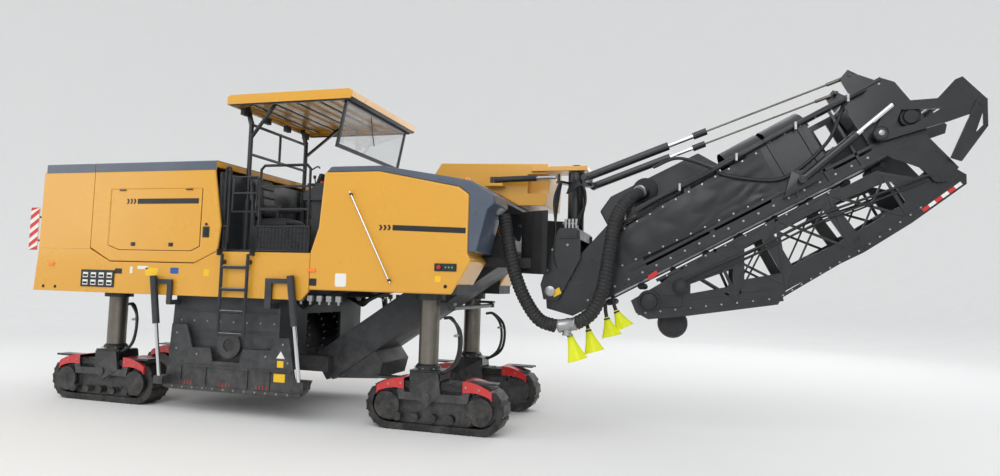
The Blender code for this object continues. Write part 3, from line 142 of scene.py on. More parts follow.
@dataclass(frozen=True)
class Finish:
    """One surface as it was made, from its colour to its dust."""
    name: str
    base: str                       # main colour
    second: str                     # the colour it drifts to in patches
    roughness: float = 0.45
    spread: float = 0.10            # how far the roughness drifts
    metallic: float = 0.0
    coat: float = 0.0
    mottle_mm: float = 380.0        # size of the patches
    mottle: float = 0.5             # how much of the second colour shows
    grain_mm: float = 3.0           # size of the fine grain
    grain_depth_mm: float = 0.05
    dust: float = 0.35              # how far road dust covers the lower parts
    dust_top: float = 1.6           # height where the dust ends
    weave: Weave = Weave.NONE
    weave_mm: float = 4.0
    transmission: float = 0.0
    alpha: float = 1.0
    glow: float = 0.0

    def build(self) -> bpy.types.Material:
        """Makes the material once and gives the same one afterwards.

        Returns:
            The material.
        """
        ready = bpy.data.materials.get(self.name)
        if ready:
            return ready
        mat = bpy.data.materials.new(self.name)
        mat.use_nodes = True
        tree = mat.node_tree
        shader = tree.nodes["Principled BSDF"]
        shader.inputs["Metallic"].default_value = self.metallic
        shader.inputs["Coat Weight"].default_value = self.coat
        shader.inputs["Coat Roughness"].default_value = 0.12
        shader.inputs["Transmission Weight"].default_value = self.transmission
        shader.inputs["Alpha"].default_value = self.alpha
        place = add_node(tree, "TexCoord").outputs["Object"]
        patches = add_node(tree, "TexNoise", Vector=place, Scale=1000 / self.mottle_mm, Detail=5.0,
                           Roughness=0.6)
        share = add_node(tree, "MapRange", Value=patches.outputs["Fac"], From_Min=0.35, From_Max=0.75,
                         To_Min=0.0,
                         To_Max=self.mottle)
        colour = add_node(tree, "Mix", data_type="RGBA", Factor=share.outputs[0])
        colour.inputs[6].default_value = linear(self.base)
        colour.inputs[7].default_value = linear(self.second)
        shade = colour.outputs[2]
        if self.dust:
            shade = self._dusty(tree, place, shade)
        tree.links.new(shade, shader.inputs["Base Color"])
        rough = add_node(tree, "MapRange", Value=patches.outputs["Fac"], From_Min=0.3, From_Max=0.7,
                         To_Min=max(0.02, self.roughness - self.spread), To_Max=self.roughness + self.spread)
        tree.links.new(rough.outputs[0], shader.inputs["Roughness"])
        tree.links.new(self._relief(tree, place), shader.inputs["Normal"])
        if self.glow:
            shader.inputs["Emission Color"].default_value = linear(self.base)
            shader.inputs["Emission Strength"].default_value = self.glow
        return mat

    def _dusty(self, tree: bpy.types.NodeTree, place: bpy.types.NodeSocket,
               shade: bpy.types.NodeSocket) -> bpy.types.NodeSocket:
        """Lays pale road dust over the lower parts, thickest at the ground and broken up by cloudy noise.

        Args:
            tree: the material's node tree.
            place: the piece's own coordinates.
            shade: the colour under the dust.

        Returns:
            The colour with its dust.
        """
        height = add_node(tree, "SeparateXYZ", Vector=place).outputs["Z"]
        low = add_node(tree, "MapRange", Value=height, From_Min=0.0, From_Max=self.dust_top, To_Min=self.dust,
                       To_Max=self.dust * 0.12)
        clouds = add_node(tree, "TexNoise", Vector=place, Scale=1000 / 130, Detail=8.0, Roughness=0.7)
        broken = add_node(tree, "MapRange", Value=clouds.outputs["Fac"], From_Min=0.38, From_Max=0.68)
        share = add_node(tree, "Math", operation="MULTIPLY", _0=low.outputs[0], _1=broken.outputs[0])
        mixed = add_node(tree, "Mix", data_type="RGBA", Factor=share.outputs[0])
        tree.links.new(shade, mixed.inputs[6])
        mixed.inputs[7].default_value = linear("#8C8478")
        return mixed.outputs[2]

    def _relief(self, tree: bpy.types.NodeTree, place: bpy.types.NodeSocket) -> bpy.types.NodeSocket:
        """Gives the fine grain, and the threads or brush lines where there are any.

        Args:
            tree: the material's node tree.
            place: the piece's own coordinates.

        Returns:
            The bent normal.
        """
        grain = add_node(tree, "TexNoise", Vector=place, Scale=1000 / self.grain_mm, Detail=3.0)
        bump = add_node(tree, "Bump", Height=grain.outputs["Fac"], Strength=0.6,
                        Distance=self.grain_depth_mm * MILLIMETRE)
        if self.weave is Weave.NONE:
            return bump.outputs["Normal"]
        lines = []
        for axis in ("X", "Z") if self.weave is Weave.CLOTH else ("Z",):
            wave = add_node(tree, "TexWave", Vector=place, bands_direction=axis,
                            Scale=1000 / self.weave_mm / 3.2, Distortion=0.4)
            lines.append(wave.outputs["Fac"])
        if len(lines) == 2:
            lines = [add_node(tree, "Math", operation="MAXIMUM", _0=lines[0], _1=lines[1]).outputs[0]]
        threads = add_node(tree, "Bump", Height=lines[0], Strength=0.5, Distance=0.25 * MILLIMETRE,
                           Normal=bump.outputs["Normal"])
        return threads.outputs["Normal"]


# Two-pack polyurethane enamel, sprayed and baked: a warm deep yellow with a clear wet shine.
ENAMEL = Finish("sprayed_yellow_enamel", "#DDA233", "#D49628", 0.30, 0.06, coat=0.45, mottle=0.35,
                mottle_mm=900,
                grain_mm=2.4, grain_depth_mm=0.03, dust=0.0)
# The same enamel in blue-grey on the tops: it mirrors the sky softly.
TOP_ENAMEL = Finish("sprayed_slate_enamel", "#4B5564", "#5A6474", 0.34, 0.08, coat=0.25, mottle_mm=700,
                    dust=0.0,
                    grain_depth_mm=0.03)
# Matt epoxy primer and top coat on the chassis: charcoal, dry, greyed by road dust.
CHASSIS = Finish("charcoal_chassis_enamel", "#26292E", "#363A40", 0.50, 0.12, coat=0.05, mottle_mm=260,
                 grain_mm=4.0,
                 grain_depth_mm=0.08, dust=0.32)
# The same dry coat, darker, on the conveyor and the rails.
BLACK_ENAMEL = Finish("black_structural_enamel", "#121419", "#1F2329", 0.34, 0.10, coat=0.25, mottle_mm=240,
                      grain_mm=4.0, grain_depth_mm=0.06, dust=0.12)
# Forged and quenched track plates: dark, worn bright in places, caked with dust.
TRACK_STEEL = Finish("quenched_track_steel", "#1B1C1F", "#35353A", 0.48, 0.14, metallic=0.35, mottle_mm=60,
                     mottle=0.7,
                     grain_mm=5.0, grain_depth_mm=0.3, dust=0.30, dust_top=0.9)
# Sand-cast iron, rough skin.
CASTING = Finish("sand_cast_iron", "#222428", "#2F3136", 0.62, 0.12, metallic=0.25, mottle_mm=90,
                 grain_mm=2.5,
                 grain_depth_mm=0.25, dust=0.35)
# Turned and ground steel columns under a film of oil: warm grey.
GROUND_STEEL = Finish("ground_column_steel", "#77726A", "#5F5B55", 0.36, 0.10, metallic=0.75, mottle_mm=160,
                      weave=Weave.BRUSHED, weave_mm=5.0, dust=0.25)
# Hard chrome on ram rods and the grab bar.
CHROME = Finish("hard_chrome", "#D8DADC", "#C4C7CA", 0.10, 0.05, metallic=1.0, grain_depth_mm=0.01, dust=0.0)
# Zinc-plated fittings and bolts, passivated: dull silver.
ZINC = Finish("zinc_plated_steel", "#A9ABAB", "#8E9090", 0.34, 0.10, metallic=0.85, mottle_mm=40, dust=0.15)
# Vulcanised rubber with a cloth-marked skin: nearly black, dry.
RUBBER = Finish("vulcanised_rubber", "#17181A", "#222325", 0.62, 0.10, mottle_mm=120, grain_mm=3.0,
                grain_depth_mm=0.15, dust=0.25)
# Wire-braided hydraulic hose cover: black with a faint shine.
HOSE = Finish("hydraulic_hose_rubber", "#141517", "#1E1F21", 0.45, 0.10, mottle_mm=90, dust=0.15)
# Coated polyester tarpaulin: black, woven 5 mm wide so that its threads show.
TARPAULIN = Finish("coated_tarpaulin", "#15171B", "#202328", 0.40, 0.14, mottle_mm=300, weave=Weave.CLOTH,
                   weave_mm=5.0, grain_depth_mm=0.1, dust=0.15)
# Safety red enamel on the track guards.
GUARD_RED = Finish("safety_red_enamel", "#C8191F", "#D9252A", 0.34, 0.08, coat=0.35, mottle_mm=200, dust=0.25)
# Fluorescent coated nylon sleeves.
SLEEVE = Finish("fluorescent_nylon", "#E6EC1A", "#D4DC10", 0.55, 0.08, weave=Weave.CLOTH, weave_mm=4.0,
                dust=0.0)
# Printed vinyl stickers: smooth, satin.
BLACK_VINYL = Finish("black_vinyl", "#17181A", "#1D1E20", 0.40, 0.05, grain_depth_mm=0.01, dust=0.0)
WHITE_VINYL = Finish("white_vinyl", "#E8E8E4", "#DADAD6", 0.42, 0.05, grain_depth_mm=0.01, dust=0.0)
YELLOW_VINYL = Finish("yellow_vinyl", "#F2C31B", "#E8B912", 0.42, 0.05, grain_depth_mm=0.01, dust=0.0)
BLUE_VINYL = Finish("blue_vinyl", "#2457A6", "#1E4E98", 0.42, 0.05, grain_depth_mm=0.01, dust=0.0)
RED_VINYL = Finish("red_vinyl", "#CF2A22", "#C4241C", 0.42, 0.05, grain_depth_mm=0.01, dust=0.0)
# Moulded polycarbonate lenses.
AMBER = Finish("amber_lens", "#F07A12", "#E56E08", 0.18, 0.04, coat=0.6, dust=0.0, glow=0.15)
# the red lens glows faintly: fitting on the tail lamps, but on the stop buttons, which are no lamps, it is a
# painted glow
RED_LENS = Finish("red_lens", "#B3161A", "#A51014", 0.18, 0.04, coat=0.6, dust=0.0, glow=0.1)
CLEAR_LENS = Finish("clear_lamp_lens", "#DDE3E6", "#C8CFD3", 0.12, 0.04, coat=0.8, dust=0.0)
GREEN_LENS = Finish("green_lens", "#2FAE54", "#29A04B", 0.20, 0.04, coat=0.6, dust=0.0, glow=0.2)
# Tinted safety glass.
GLASS = Finish("tinted_safety_glass", "#B9C6CB", "#B0BDC4", 0.04, 0.02, transmission=0.90, alpha=0.30,
               grain_depth_mm=0.0, dust=0.0)
# Sewn vinyl over foam on the seats: black with a fine leather grain.
SEAT_VINYL = Finish("embossed_seat_vinyl", "#1B1C1F", "#242529", 0.48, 0.08, grain_mm=2.5,
                    grain_depth_mm=0.25,
                    dust=0.0)
# Moulded ABS boxes.
ABS = Finish("moulded_black_abs", "#1A1B1D", "#232427", 0.46, 0.06, grain_mm=1.5, grain_depth_mm=0.06,
             dust=0.0)
# Dark space behind a grille.
SHADOW = Finish("unlit_interior", "#0B0C0D", "#0E0F10", 0.80, 0.05, dust=0.0)


# ---------------------------------------------------------------- surfaces
@dataclass
class Mesh:
    """Points and faces gathered before they become one object."""
    points: list[np.ndarray] = field(default_factory=list)
    faces: list[list[int]] = field(default_factory=list)
    count: int = 0

    def add(self, points: np.ndarray, faces: list[list[int]]) -> None:
        """Adds a shape's points and its faces, counted from its own first point.

        Args:
            points: one a row.
            faces: indices into those points.
        """
        self.faces += [[i + self.count for i in face] for face in faces]
        self.points.append(np.asarray(points, float))
        self.count += len(points)


def grid_faces(rows: int, columns: int, round_rows: bool = False,
               round_columns: bool = False) -> list[list[int]]:
    """Gives the quads of a grid of points: point (i, j) joins (i, j+1), (i+1, j+1) and (i+1, j).

    Args:
        rows: points along the first parameter.
        columns: points along the second parameter.
        round_rows: the last row joins the first.
        round_columns: the last column joins the first.

    Returns:
        Four indices a face.
    """
    i = np.arange(rows if round_rows else rows - 1)[:, None]
    j = np.arange(columns if round_columns else columns - 1)[None, :]
    up, over = (i + 1) % rows, (j + 1) % columns
    quads = np.stack([i * columns + j, i * columns + over, up * columns + over, up * columns + j], -1)
    return quads.reshape(-1, 4).tolist()


def smooth_path(points: Sequence[Point], steps: int = 6) -> np.ndarray:
    """Carries a Catmull-Rom curve through the points: each stretch is the cubic set by its four nearest
    points.

    Args:
        points: places along the route.
        steps: stretches between two of them.

    Returns:
        The curve's points, one a row.
    """
    p = np.asarray(points, float)
    p = np.vstack([2 * p[0] - p[1], p, 2 * p[-1] - p[-2]])
    t = np.arange(steps)[:, None] / steps
    a, b, c, d = p[:-3, None], p[1:-2, None], p[2:-1, None], p[3:, None]
    curve = 0.5 * (2 * b + (c - a) * t + (2 * a - 5 * b + 4 * c - d) * t ** 2
                   + (3 * b - a - 3 * c + d) * t ** 3)
    return np.vstack([curve.reshape(-1, 3), p[-2]])


def frames_along(path: np.ndarray) -> tuple[np.ndarray, np.ndarray]:
    """Gives two directions across a path at each of its points, carried along with the least twist.

    Args:
        path: points, one a row.

    Returns:
        Two unit vectors across the path for each point.
    """
    along = np.gradient(path, axis=0)
    along /= np.linalg.norm(along, axis=1)[:, None] + 1e-12
    start = np.eye(3)[np.argmin(np.abs(along[0]))]
    across = np.zeros_like(path)
    across[0] = np.cross(along[0], start)
    for i in range(len(path)):
        last = across[max(i - 1, 0)]
        side = last - along[i] * (last @ along[i])
        across[i] = side / (np.linalg.norm(side) + 1e-12)
    return across, np.cross(along, across)


def ring_faces(sides: int, start: int, turned: bool) -> list[int]:
    """Gives one flat face round a ring of points, turned over where asked."""
    ring = list(range(start, start + sides))
    return ring[::-1] if turned else ring


class Batch:
    """Small pieces of one finish that ride on one body, made one object at the end."""

    def __init__(self, name: str, body: str, finish: Finish, bevel: float = 0.0) -> None:
        """Starts an empty batch.

        Args:
            name: the object's name.
            body: the CAD body it rides on.
            finish: the surface.
            bevel: how far the edges are broken, or nothing.
        """
        self.name, self.body, self.finish, self.bevel = name, body, finish, bevel
        self.mesh = Mesh()

    def tube(self, path: Sequence[Point], radius: float | np.ndarray, sides: int = 8, steps: int = 0) -> None:
        """Carries a circle along a path: point = place + radius (cos a across + sin a up).

        Args:
            path: places along it.
            radius: one radius, or one for each place.
            sides: points round the circle.
            steps: how many stretches a smooth curve has between places; none keeps the corners.
        """
        line = smooth_path(path, steps) if steps else np.asarray(path, float)
        across, up = frames_along(line)
        turn = np.linspace(0, 2 * np.pi, sides, endpoint=False)
        size = np.broadcast_to(np.asarray(radius, float), len(line))[:, None, None]
        points = line[:, None] + size * (np.cos(turn)[None, :, None] * across[:, None]
                                         + np.sin(turn)[None, :, None] * up[:, None])
        faces = grid_faces(len(line), sides, round_columns=True)
        faces += [ring_faces(sides, 0, True), ring_faces(sides, (len(line) - 1) * sides, False)]
        self.mesh.add(points.reshape(-1, 3), faces)

    def rod(self, start: Point, end: Point, radius: float, sides: int = 16, tip: float | None = None) -> None:
        """Adds a round bar, or a cone where its tip has a radius of its own."""
        self.tube([start, end], np.array([radius, radius if tip is None else tip]), sides)

    def block(self, x: Outline, y: Outline, z: Outline) -> None:
        """Adds a box between two places along each axis."""
        (x0, x1), (y0, y1), (z0, z1) = sorted(x), sorted(y), sorted(z)
        self.slab([(x0, z0), (x1, z0), (x1, z1), (x0, z1)], (y0, y1))

    def slab(self, outline: Outline, y: Outline) -> None:
        """Carries an outline in X and Z along Y and closes both ends.

        Args:
            outline: its corners.
            y: where the slab starts and ends.
        """
        y0, y1 = sorted(y)
        flat = np.asarray(outline, float)
        area = np.sum(flat[:, 0] * np.roll(flat[:, 1], -1) - np.roll(flat[:, 0], -1) * flat[:, 1])
        if area < 0:
            flat = flat[::-1]
        n = len(flat)
        near = np.stack([flat[:, 0], np.full(n, y0), flat[:, 1]], -1)
        far = near + [0, y1 - y0, 0]
        walls = [[(i + 1) % n, i, i + n, (i + 1) % n + n] for i in range(n)]
        self.mesh.add(np.vstack([near, far]), [list(range(n)), list(range(2 * n - 1, n - 1, -1))] + walls)

    def band(self, outline: Outline, wide: float, y: Outline) -> None:
        """Carries a closed outline's border of one width along Y, as a flat frame or a groove's edge.

        Args:
            outline: its corners in X and Z.
            wide: the border's width.
            y: where it starts and ends.
        """
        flat = np.asarray(outline, float)
        middle = (flat.max(0) + flat.min(0)) / 2
        half = (flat.max(0) - flat.min(0)) / 2
        inner = middle + (flat - middle) * (1 - wide / half)
        y0, y1 = sorted(y)
        n = len(flat)
        rings = [np.stack([ring[:, 0], np.full(n, depth), ring[:, 1]], -1)
                 for ring, depth in ((flat, y0), (flat, y1), (inner, y1), (inner, y0))]
        area = np.sum(flat[:, 0] * np.roll(flat[:, 1], -1) - np.roll(flat[:, 0], -1) * flat[:, 1])
        faces = grid_faces(4, n, True, True)
        self.mesh.add(np.vstack(rings), [f[::-1] for f in faces] if area > 0 else faces)

    def sheet(self, points: np.ndarray, thick: Point) -> None:
        """Gives a grid of points a thickness along its own normals n = dP/dj x dP/di, and closes the rim.

        Args:
            points: rows by columns by three.
            thick: its length is the thickness, and the second face lies on the side it points to.
        """
        rows, columns = points.shape[:2]
        way = np.asarray(thick, float)
        normal = np.cross(np.gradient(points, axis=1), np.gradient(points, axis=0)).reshape(-1, 3)
        normal /= np.linalg.norm(normal, axis=1)[:, None] + 1e-12
        total = np.sum(normal @ way)
        shift = normal * np.linalg.norm(way) * (1 if total >= 0 else -1)
        top, low = points.reshape(-1, 3), points.reshape(-1, 3) + shift
        shape = grid_faces(rows, columns)
        n = rows * columns
        edge = [j for j in range(columns)] + [i * columns + columns - 1 for i in range(1, rows)]
        edge += [(rows - 1) * columns + j for j in range(columns - 2, -1, -1)]
        edge += [i * columns for i in range(rows - 2, 0, -1)]
        rim = [[a, a + n, b + n, b] for a, b in zip(edge, edge[1:] + edge[:1])]
        faces = [f[::-1] for f in shape] + [[i + n for i in f] for f in shape] + [f[::-1] for f in rim]
        if total < 0:
            faces = [f[::-1] for f in faces]
        self.mesh.add(np.vstack([top, low]), faces)

    def lathe(self, start: Point, end: Point, profile: Outline, sides: int = 24) -> None:
        """Turns a profile round the line from start to end: each pair is a share of the length and a radius.

        Args:
            start: one end of the axis.
            end: the other end.
            profile: pairs of a share and a radius.
            sides: faces round it.
        """
        a, b = np.asarray(start, float), np.asarray(end, float)
        line = np.array([a + (b - a) * share for share, _ in profile])
        direction = (b - a) / np.linalg.norm(b - a)
        across = np.cross(direction, np.eye(3)[np.argmin(np.abs(direction))])
        across /= np.linalg.norm(across)
        up = np.cross(direction, across)
        turn = np.linspace(0, 2 * np.pi, sides, endpoint=False)
        size = np.array([r for _, r in profile])[:, None, None]
        points = line[:, None] + size * (np.cos(turn)[None, :, None] * across + np.sin(turn)[None, :,
                                                                                             None] * up)
        faces = grid_faces(len(profile), sides, round_columns=True)
        faces += [ring_faces(sides, 0, True), ring_faces(sides, (len(profile) - 1) * sides, False)]
        self.mesh.add(points.reshape(-1, 3), faces)

    def bolt(self, place: Point, out: Point, size: float = 0.014) -> None:
        """Adds a hexagon head on a washer, standing out along one way.

        Args:
            place: where it sits.
            out: the way it stands out.
            size: half its width across the flats.
        """
        p, d = np.asarray(place, float), np.asarray(out, float)
        d = d / np.linalg.norm(d)
        self.rod(p, p + d * size * 0.25, size * 1.15, 12)
        self.rod(p + d * size * 0.2, p + d * size * 0.9, size * 0.8, 6)

    def emit(self, smooth_deg: float = 38.0) -> bpy.types.Object:
        """Makes the object, shades it, gives it its finish and sets it on its body.

        Args:
            smooth_deg: edges sharper than this stay crisp.

        Returns:
            The object.
        """
        points = np.vstack(self.mesh.points) + DATUM
        mesh = bpy.data.meshes.new(self.name)
        mesh.from_pydata(points.tolist(), [], self.mesh.faces)
        return place_mesh(self.name, mesh, self.body, self.finish, self.bevel, smooth_deg)


def place_mesh(name: str, mesh: bpy.types.Mesh, body: str, finish: Finish, bevel: float = 0.0,
               smooth_deg: float = 38.0) -> bpy.types.Object:
    """Makes a mesh an object of the machine.

    Args:
        name: the object's name.
        mesh: the mesh, with its place in its points.
        body: the CAD body that carries it.
        finish: its surface.
        bevel: how far its edges are broken, or nothing.
        smooth_deg: edges sharper than this stay crisp.

    Returns:
        The object.
    """
    mesh.shade_smooth()
    mesh.set_sharp_from_angle(angle=math.radians(smooth_deg))
    mesh.materials.append(finish.build())
    obj = bpy.data.objects.new(name, mesh)
    bpy.context.scene.collection.objects.link(obj)
    if bevel:
        edges = obj.modifiers.new("broken_edges", "BEVEL")
        edges.width, edges.segments, edges.limit_method = bevel, 2, "ANGLE"
        edges.angle_limit, edges.harden_normals = math.radians(35), False
    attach(obj, body)
    log.info("%s on %s: %d faces", name, body, len(mesh.polygons))
    return obj


def face_centres(mesh: bpy.types.Mesh) -> np.ndarray:
    """Gives the middle of each face, from the front steering axis.

    Args:
        mesh: the mesh.

    Returns:
        A place for each face.
    """
    spots = np.zeros(len(mesh.polygons) * 3)
    mesh.polygons.foreach_get("center", spots)
    return spots.reshape(-1, 3) - DATUM


def dress(node: str, finish: Finish, *zones: tuple[Finish, Callable[[np.ndarray], np.ndarray]]) -> None:
    """Gives a CAD node its finishes: the first everywhere, and each other where its rule holds for a
    face's middle.

    Args:
        node: the CAD node's name.
        finish: the main finish.
        zones: another finish, and a rule on the faces' middles.
    """
    mesh = frame["nodes"][node].data
    mesh.materials.clear()
    for each in (finish, *[z[0] for z in zones]):
        mesh.materials.append(each.build())
    index = np.zeros(len(mesh.polygons), int)
    spots = face_centres(mesh)
    for number, (_, rule) in enumerate(zones, 1):
        index[rule(spots)] = number
    mesh.polygons.foreach_set("material_index", index)


def soften(node: str, body: str, finish: Finish, width: float,
           *zones: tuple[Finish, Callable]) -> bpy.types.Object:
    """Stands a copy of a CAD node in its place with its edges rounded as pressed sheet or castings have them.

    Args:
        node: the CAD node's name.
        body: its body.
        finish: the main finish.
        width: the radius of its edges.
        zones: another finish, and a rule on the faces' middles.

    Returns:
        The copy.
    """
    dress(node, finish, *zones)
    mesh = frame["nodes"][node].data.copy()
    shape = bmesh.new()
    shape.from_mesh(mesh)
    bmesh.ops.remove_doubles(shape, verts=shape.verts, dist=0.00002)
    bmesh.ops.dissolve_limit(shape, angle_limit=math.radians(0.6), verts=shape.verts, edges=shape.edges,
                             delimit={"MATERIAL"})
    shape.to_mesh(mesh)
    shape.free()
    mesh.shade_smooth()
    mesh.set_sharp_from_angle(angle=math.radians(32))
    obj = bpy.data.objects.new(node + "_finished", mesh)
    bpy.context.scene.collection.objects.link(obj)
    edges = obj.modifiers.new("rounded_edges", "BEVEL")
    edges.width, edges.segments, edges.limit_method = width, 3, "ANGLE"
    edges.angle_limit, edges.use_clamp_overlap, edges.harden_normals = math.radians(32), True, False
    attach(obj, body)
    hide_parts(node)
    log.info("%s stands for %s", obj.name, node)
    return obj


# ---------------------------------------------------------------- hull
@dataclass
class Hull:
    """The rear housing, the hinged hood with its doors, the lower panels and the two front housings."""
    skin: float = HULL
    rear: float = -5.80
    seam: float = -4.85             # hood to rear housing
    hood_front: float = -2.90
    shoulder: float = 3.14
    top: float = 3.26

    def build(self) -> None:
        """Dresses the panels and adds everything fixed to them."""
        soften("rear_housing", "chassis", ENAMEL, 0.022)
        soften("engine_hood", "hood", ENAMEL, 0.014)
        for side, sign in (("right", -1), ("left", 1)):
            soften(f"hood_door_{side}", f"hood_door_{side}_body", ENAMEL, 0.005)
            soften(f"lower_hull_{side}", "chassis", ENAMEL, 0.006)
            soften(f"front_hull_{side}", "chassis", ENAMEL, 0.020)
            self.stripes(side, sign)
            self.door_fittings(side, sign)
            self.signs(side, sign)
            self.control_box(side, sign)
            self.hazard_board(side, sign)
        soften("front_top_cover", "chassis", TOP_ENAMEL, 0.018)
        soften("mast_bridge", "chassis", ENAMEL, 0.012)
        self.cap("hood_top_cover", "hood", self.seam + 0.012, self.hood_front + 0.02)
        self.cap("rear_top_cover", "chassis", self.rear + 0.10, self.seam)
        self.rear_face()
        self.grab_bars()
        self.beacon()

    def cap(self, name: str, body: str, start: float, end: float) -> None:
        """Carries the top's rounded section along X: flat across the middle, a quarter circle down to each
        side.

        Args:
            name: the piece's name.
            body: the body that carries it.
            start: where it begins.
            end: where it ends.
        """
        reach, radius, lift = self.skin + 0.004, 0.018, self.top + 0.004
        turn = np.linspace(0, np.pi / 2, 7)
        edge = np.stack([reach - radius + radius * np.cos(turn), lift - radius + radius * np.sin(turn)], -1)
        half = np.vstack([[reach, self.shoulder], edge])
        section = np.vstack([half * [-1, 1], half[::-1]])
        x = np.linspace(start, end, 5)
        grid = np.stack([np.broadcast_to(x[:, None], (5, len(section))),
                         np.broadcast_to(section[:, 0], (5, len(section))),
                         np.broadcast_to(section[:, 1], (5, len(section)))], -1)
        cover = Batch(name, body, TOP_ENAMEL)
        cover.sheet(grid, (0, 0, -0.003))
        cover.emit(50)

    def stripes(self, side: str, sign: int) -> None:
        """Sticks the black flash with its slashes on the door and on the front housing.

        Args:
            side: right or left, as the CAD's names have it.
            sign: -1 on the right and 1 on the left.
        """
        def flash(batch: Batch, x: Outline, rear: Outline, front: Outline, slashes: int) -> None:
            """Adds a tapered band and the slashes behind it.

            Args:
                batch: takes the shapes.
                x: where the band starts and ends.
                rear: its low and high edge at the start.
                front: its low and high edge at the end.
                slashes: how many stand behind it.
            """
            y = (sign * self.skin, sign * (self.skin + VINYL))
            batch.slab([(x[0], rear[0]), (x[1], front[0]), (x[1], front[1]), (x[0], rear[1])], y)
            for i in range(slashes):
                at = x[0] - 0.055 * (i + 1)
                batch.slab([(at - 0.012, rear[0]), (at + 0.016, rear[0]),
                            (at + 0.036, (rear[0] + rear[1]) / 2),
                            (at + 0.016, rear[1]), (at - 0.012, rear[1]),
                            (at + 0.008, (rear[0] + rear[1]) / 2)], y)
        door = Batch(f"door_flash_{side}", f"hood_door_{side}_body", BLACK_VINYL)
        flash(door, (-4.10, -3.12), (2.70, 2.77), (2.70, 2.77), 3)
        door.emit()
        front = Batch(f"front_flash_{side}", "chassis", BLACK_VINYL)
        flash(front, (-0.36, 0.555), (2.365, 2.43), (2.335, 2.40), 3)
        front.emit()

    def door_fittings(self, side: str, sign: int) -> None:
        """Adds the painted shade in a door's gap, the latches and the hinges of a door, and the hood's pull
        handle.

        Args:
            side: right or left, as the CAD's names have it.
            sign: -1 on the right and 1 on the left.
        """
        face = sign * self.skin
        latch = Batch(f"door_latches_{side}", f"hood_door_{side}_body", BLACK_ENAMEL, 0.002)
        for x in (-4.13, -3.52):
            latch.block((x - 0.035, x + 0.035), (face, face + sign * 0.006), (2.135, 2.185))
            latch.rod((x, face, 2.16), (x, face + sign * 0.012, 2.16), 0.016)
        for x in (-4.35, -3.27):
            latch.rod((x - 0.05, face + sign * 0.008, 2.886), (x + 0.05, face + sign * 0.008, 2.886), 0.009)
        latch.emit()
        pull = Batch(f"hood_handle_{side}", "hood", BLACK_ENAMEL, 0.002)
        pull.block((-3.03, -2.93), (face, face + sign * 0.008), (2.26, 2.40))
        pull.tube([(-2.98, face, 2.29), (-2.98, face + sign * 0.030, 2.30),
                   (-2.98, face + sign * 0.030, 2.36),
                   (-2.98, face, 2.37)], 0.008, 8, 4)
        pull.rod((-2.98, face, 2.43), (-2.98, face + sign * 0.014, 2.43), 0.018)
        pull.emit()
        # painted shade: a black band set just behind the skin round the door stands for the shade in its gap
        rim = Batch(f"door_gap_shade_{side}", "hood", SHADOW)
        y = (face - sign * 0.012, face - sign * 0.03)
        rim.band([(-4.575, 2.93), (-4.575, 2.13), (-4.38, 2.055), (-3.19, 2.055), (-3.045, 2.13),
                  (-3.045, 2.93)], 0.05, y)
        rim.emit()

    def signs(self, side: str, sign: int) -> None:
        """Sticks the blank plates and marks along the lower panel.

        Args:
            side: right or left, as the CAD's names have it.
            sign: -1 on the right and 1 on the left.
        """
        y = (sign * self.skin, sign * (self.skin + VINYL))
        marks = (("white", WHITE_VINYL, [(-4.15, -4.11, 1.77, 1.86), (-1.09, -0.94, 1.68, 1.84),
                                         (-4.03, -3.86, 1.83, 1.87)]),
                 ("yellow", YELLOW_VINYL, [(-3.90, -3.70, 1.75, 1.85), (-2.98, -2.90, 1.76, 1.85),
                                           (0.20, 0.27, 1.77, 1.84)]),
                 ("blue", BLUE_VINYL, [(-3.50, -3.37, 1.78, 1.86)]),
                 ("dark", BLACK_VINYL, [(-4.40, -4.28, 1.76, 1.83), (-1.44, -1.34, 1.68, 1.77)]))
        for name, finish, patches in marks:
            batch = Batch(f"{name}_signs_{side}", "chassis", finish)
            for x0, x1, z0, z1 in patches:
                r = 0.10 * min(x1 - x0, z1 - z0)
                batch.slab([(x0 + r, z0), (x1 - r, z0), (x1, z0 + r), (x1, z1 - r), (x1 - r, z1),
                            (x0 + r, z1),
                            (x0, z1 - r), (x0, z0 + r)], y)
            batch.emit()
        # painted shade: flat dark discs on the skin stand for the shade inside the holes
        holes = Batch(f"hull_holes_{side}", "chassis", SHADOW)
        for x, z in ((-5.41, 1.56), (0.33, 1.72), (-5.62, 1.56)):
            holes.rod((x, y[0], z), (x, y[1], z), 0.022, 20)
        holes.emit()

    def control_box(self, side: str, sign: int) -> None:
        """Adds the ground-level control panels: a rear one with gauges and a front one with its stop button.

        Args:
            side: right or left, as the CAD's names have it.
            sign: -1 on the right and 1 on the left.
        """
        face = sign * self.skin
        case = Batch(f"panel_cases_{side}", "chassis", ABS, 0.004)
        case.block((-4.96, -4.40), (face, face + sign * 0.012), (1.575, 1.805))
        case.block((0.19, 0.46), (face, face + sign * 0.012), (1.895, 1.985))
        case.emit()
        keys = Batch(f"panel_keys_{side}", "chassis", WHITE_VINYL, 0.001)
        out = (face + sign * 0.012, face + sign * 0.016)
        for row in range(2):
            for column in range(4):
                x = -4.92 + 0.135 * column
                keys.block((x, x + 0.085), out, (1.60 + 0.10 * row, 1.67 + 0.10 * row))
        keys.emit()
        dials = Batch(f"panel_dials_{side}", "chassis", SHADOW)
        for row in range(2):
            for column in range(4):
                x, z = -4.92 + 0.135 * column, 1.61 + 0.10 * row
                dials.block((x + 0.008, x + 0.077), (out[1], out[1] + sign * 0.001), (z + 0.004, z + 0.032))
        dials.emit()
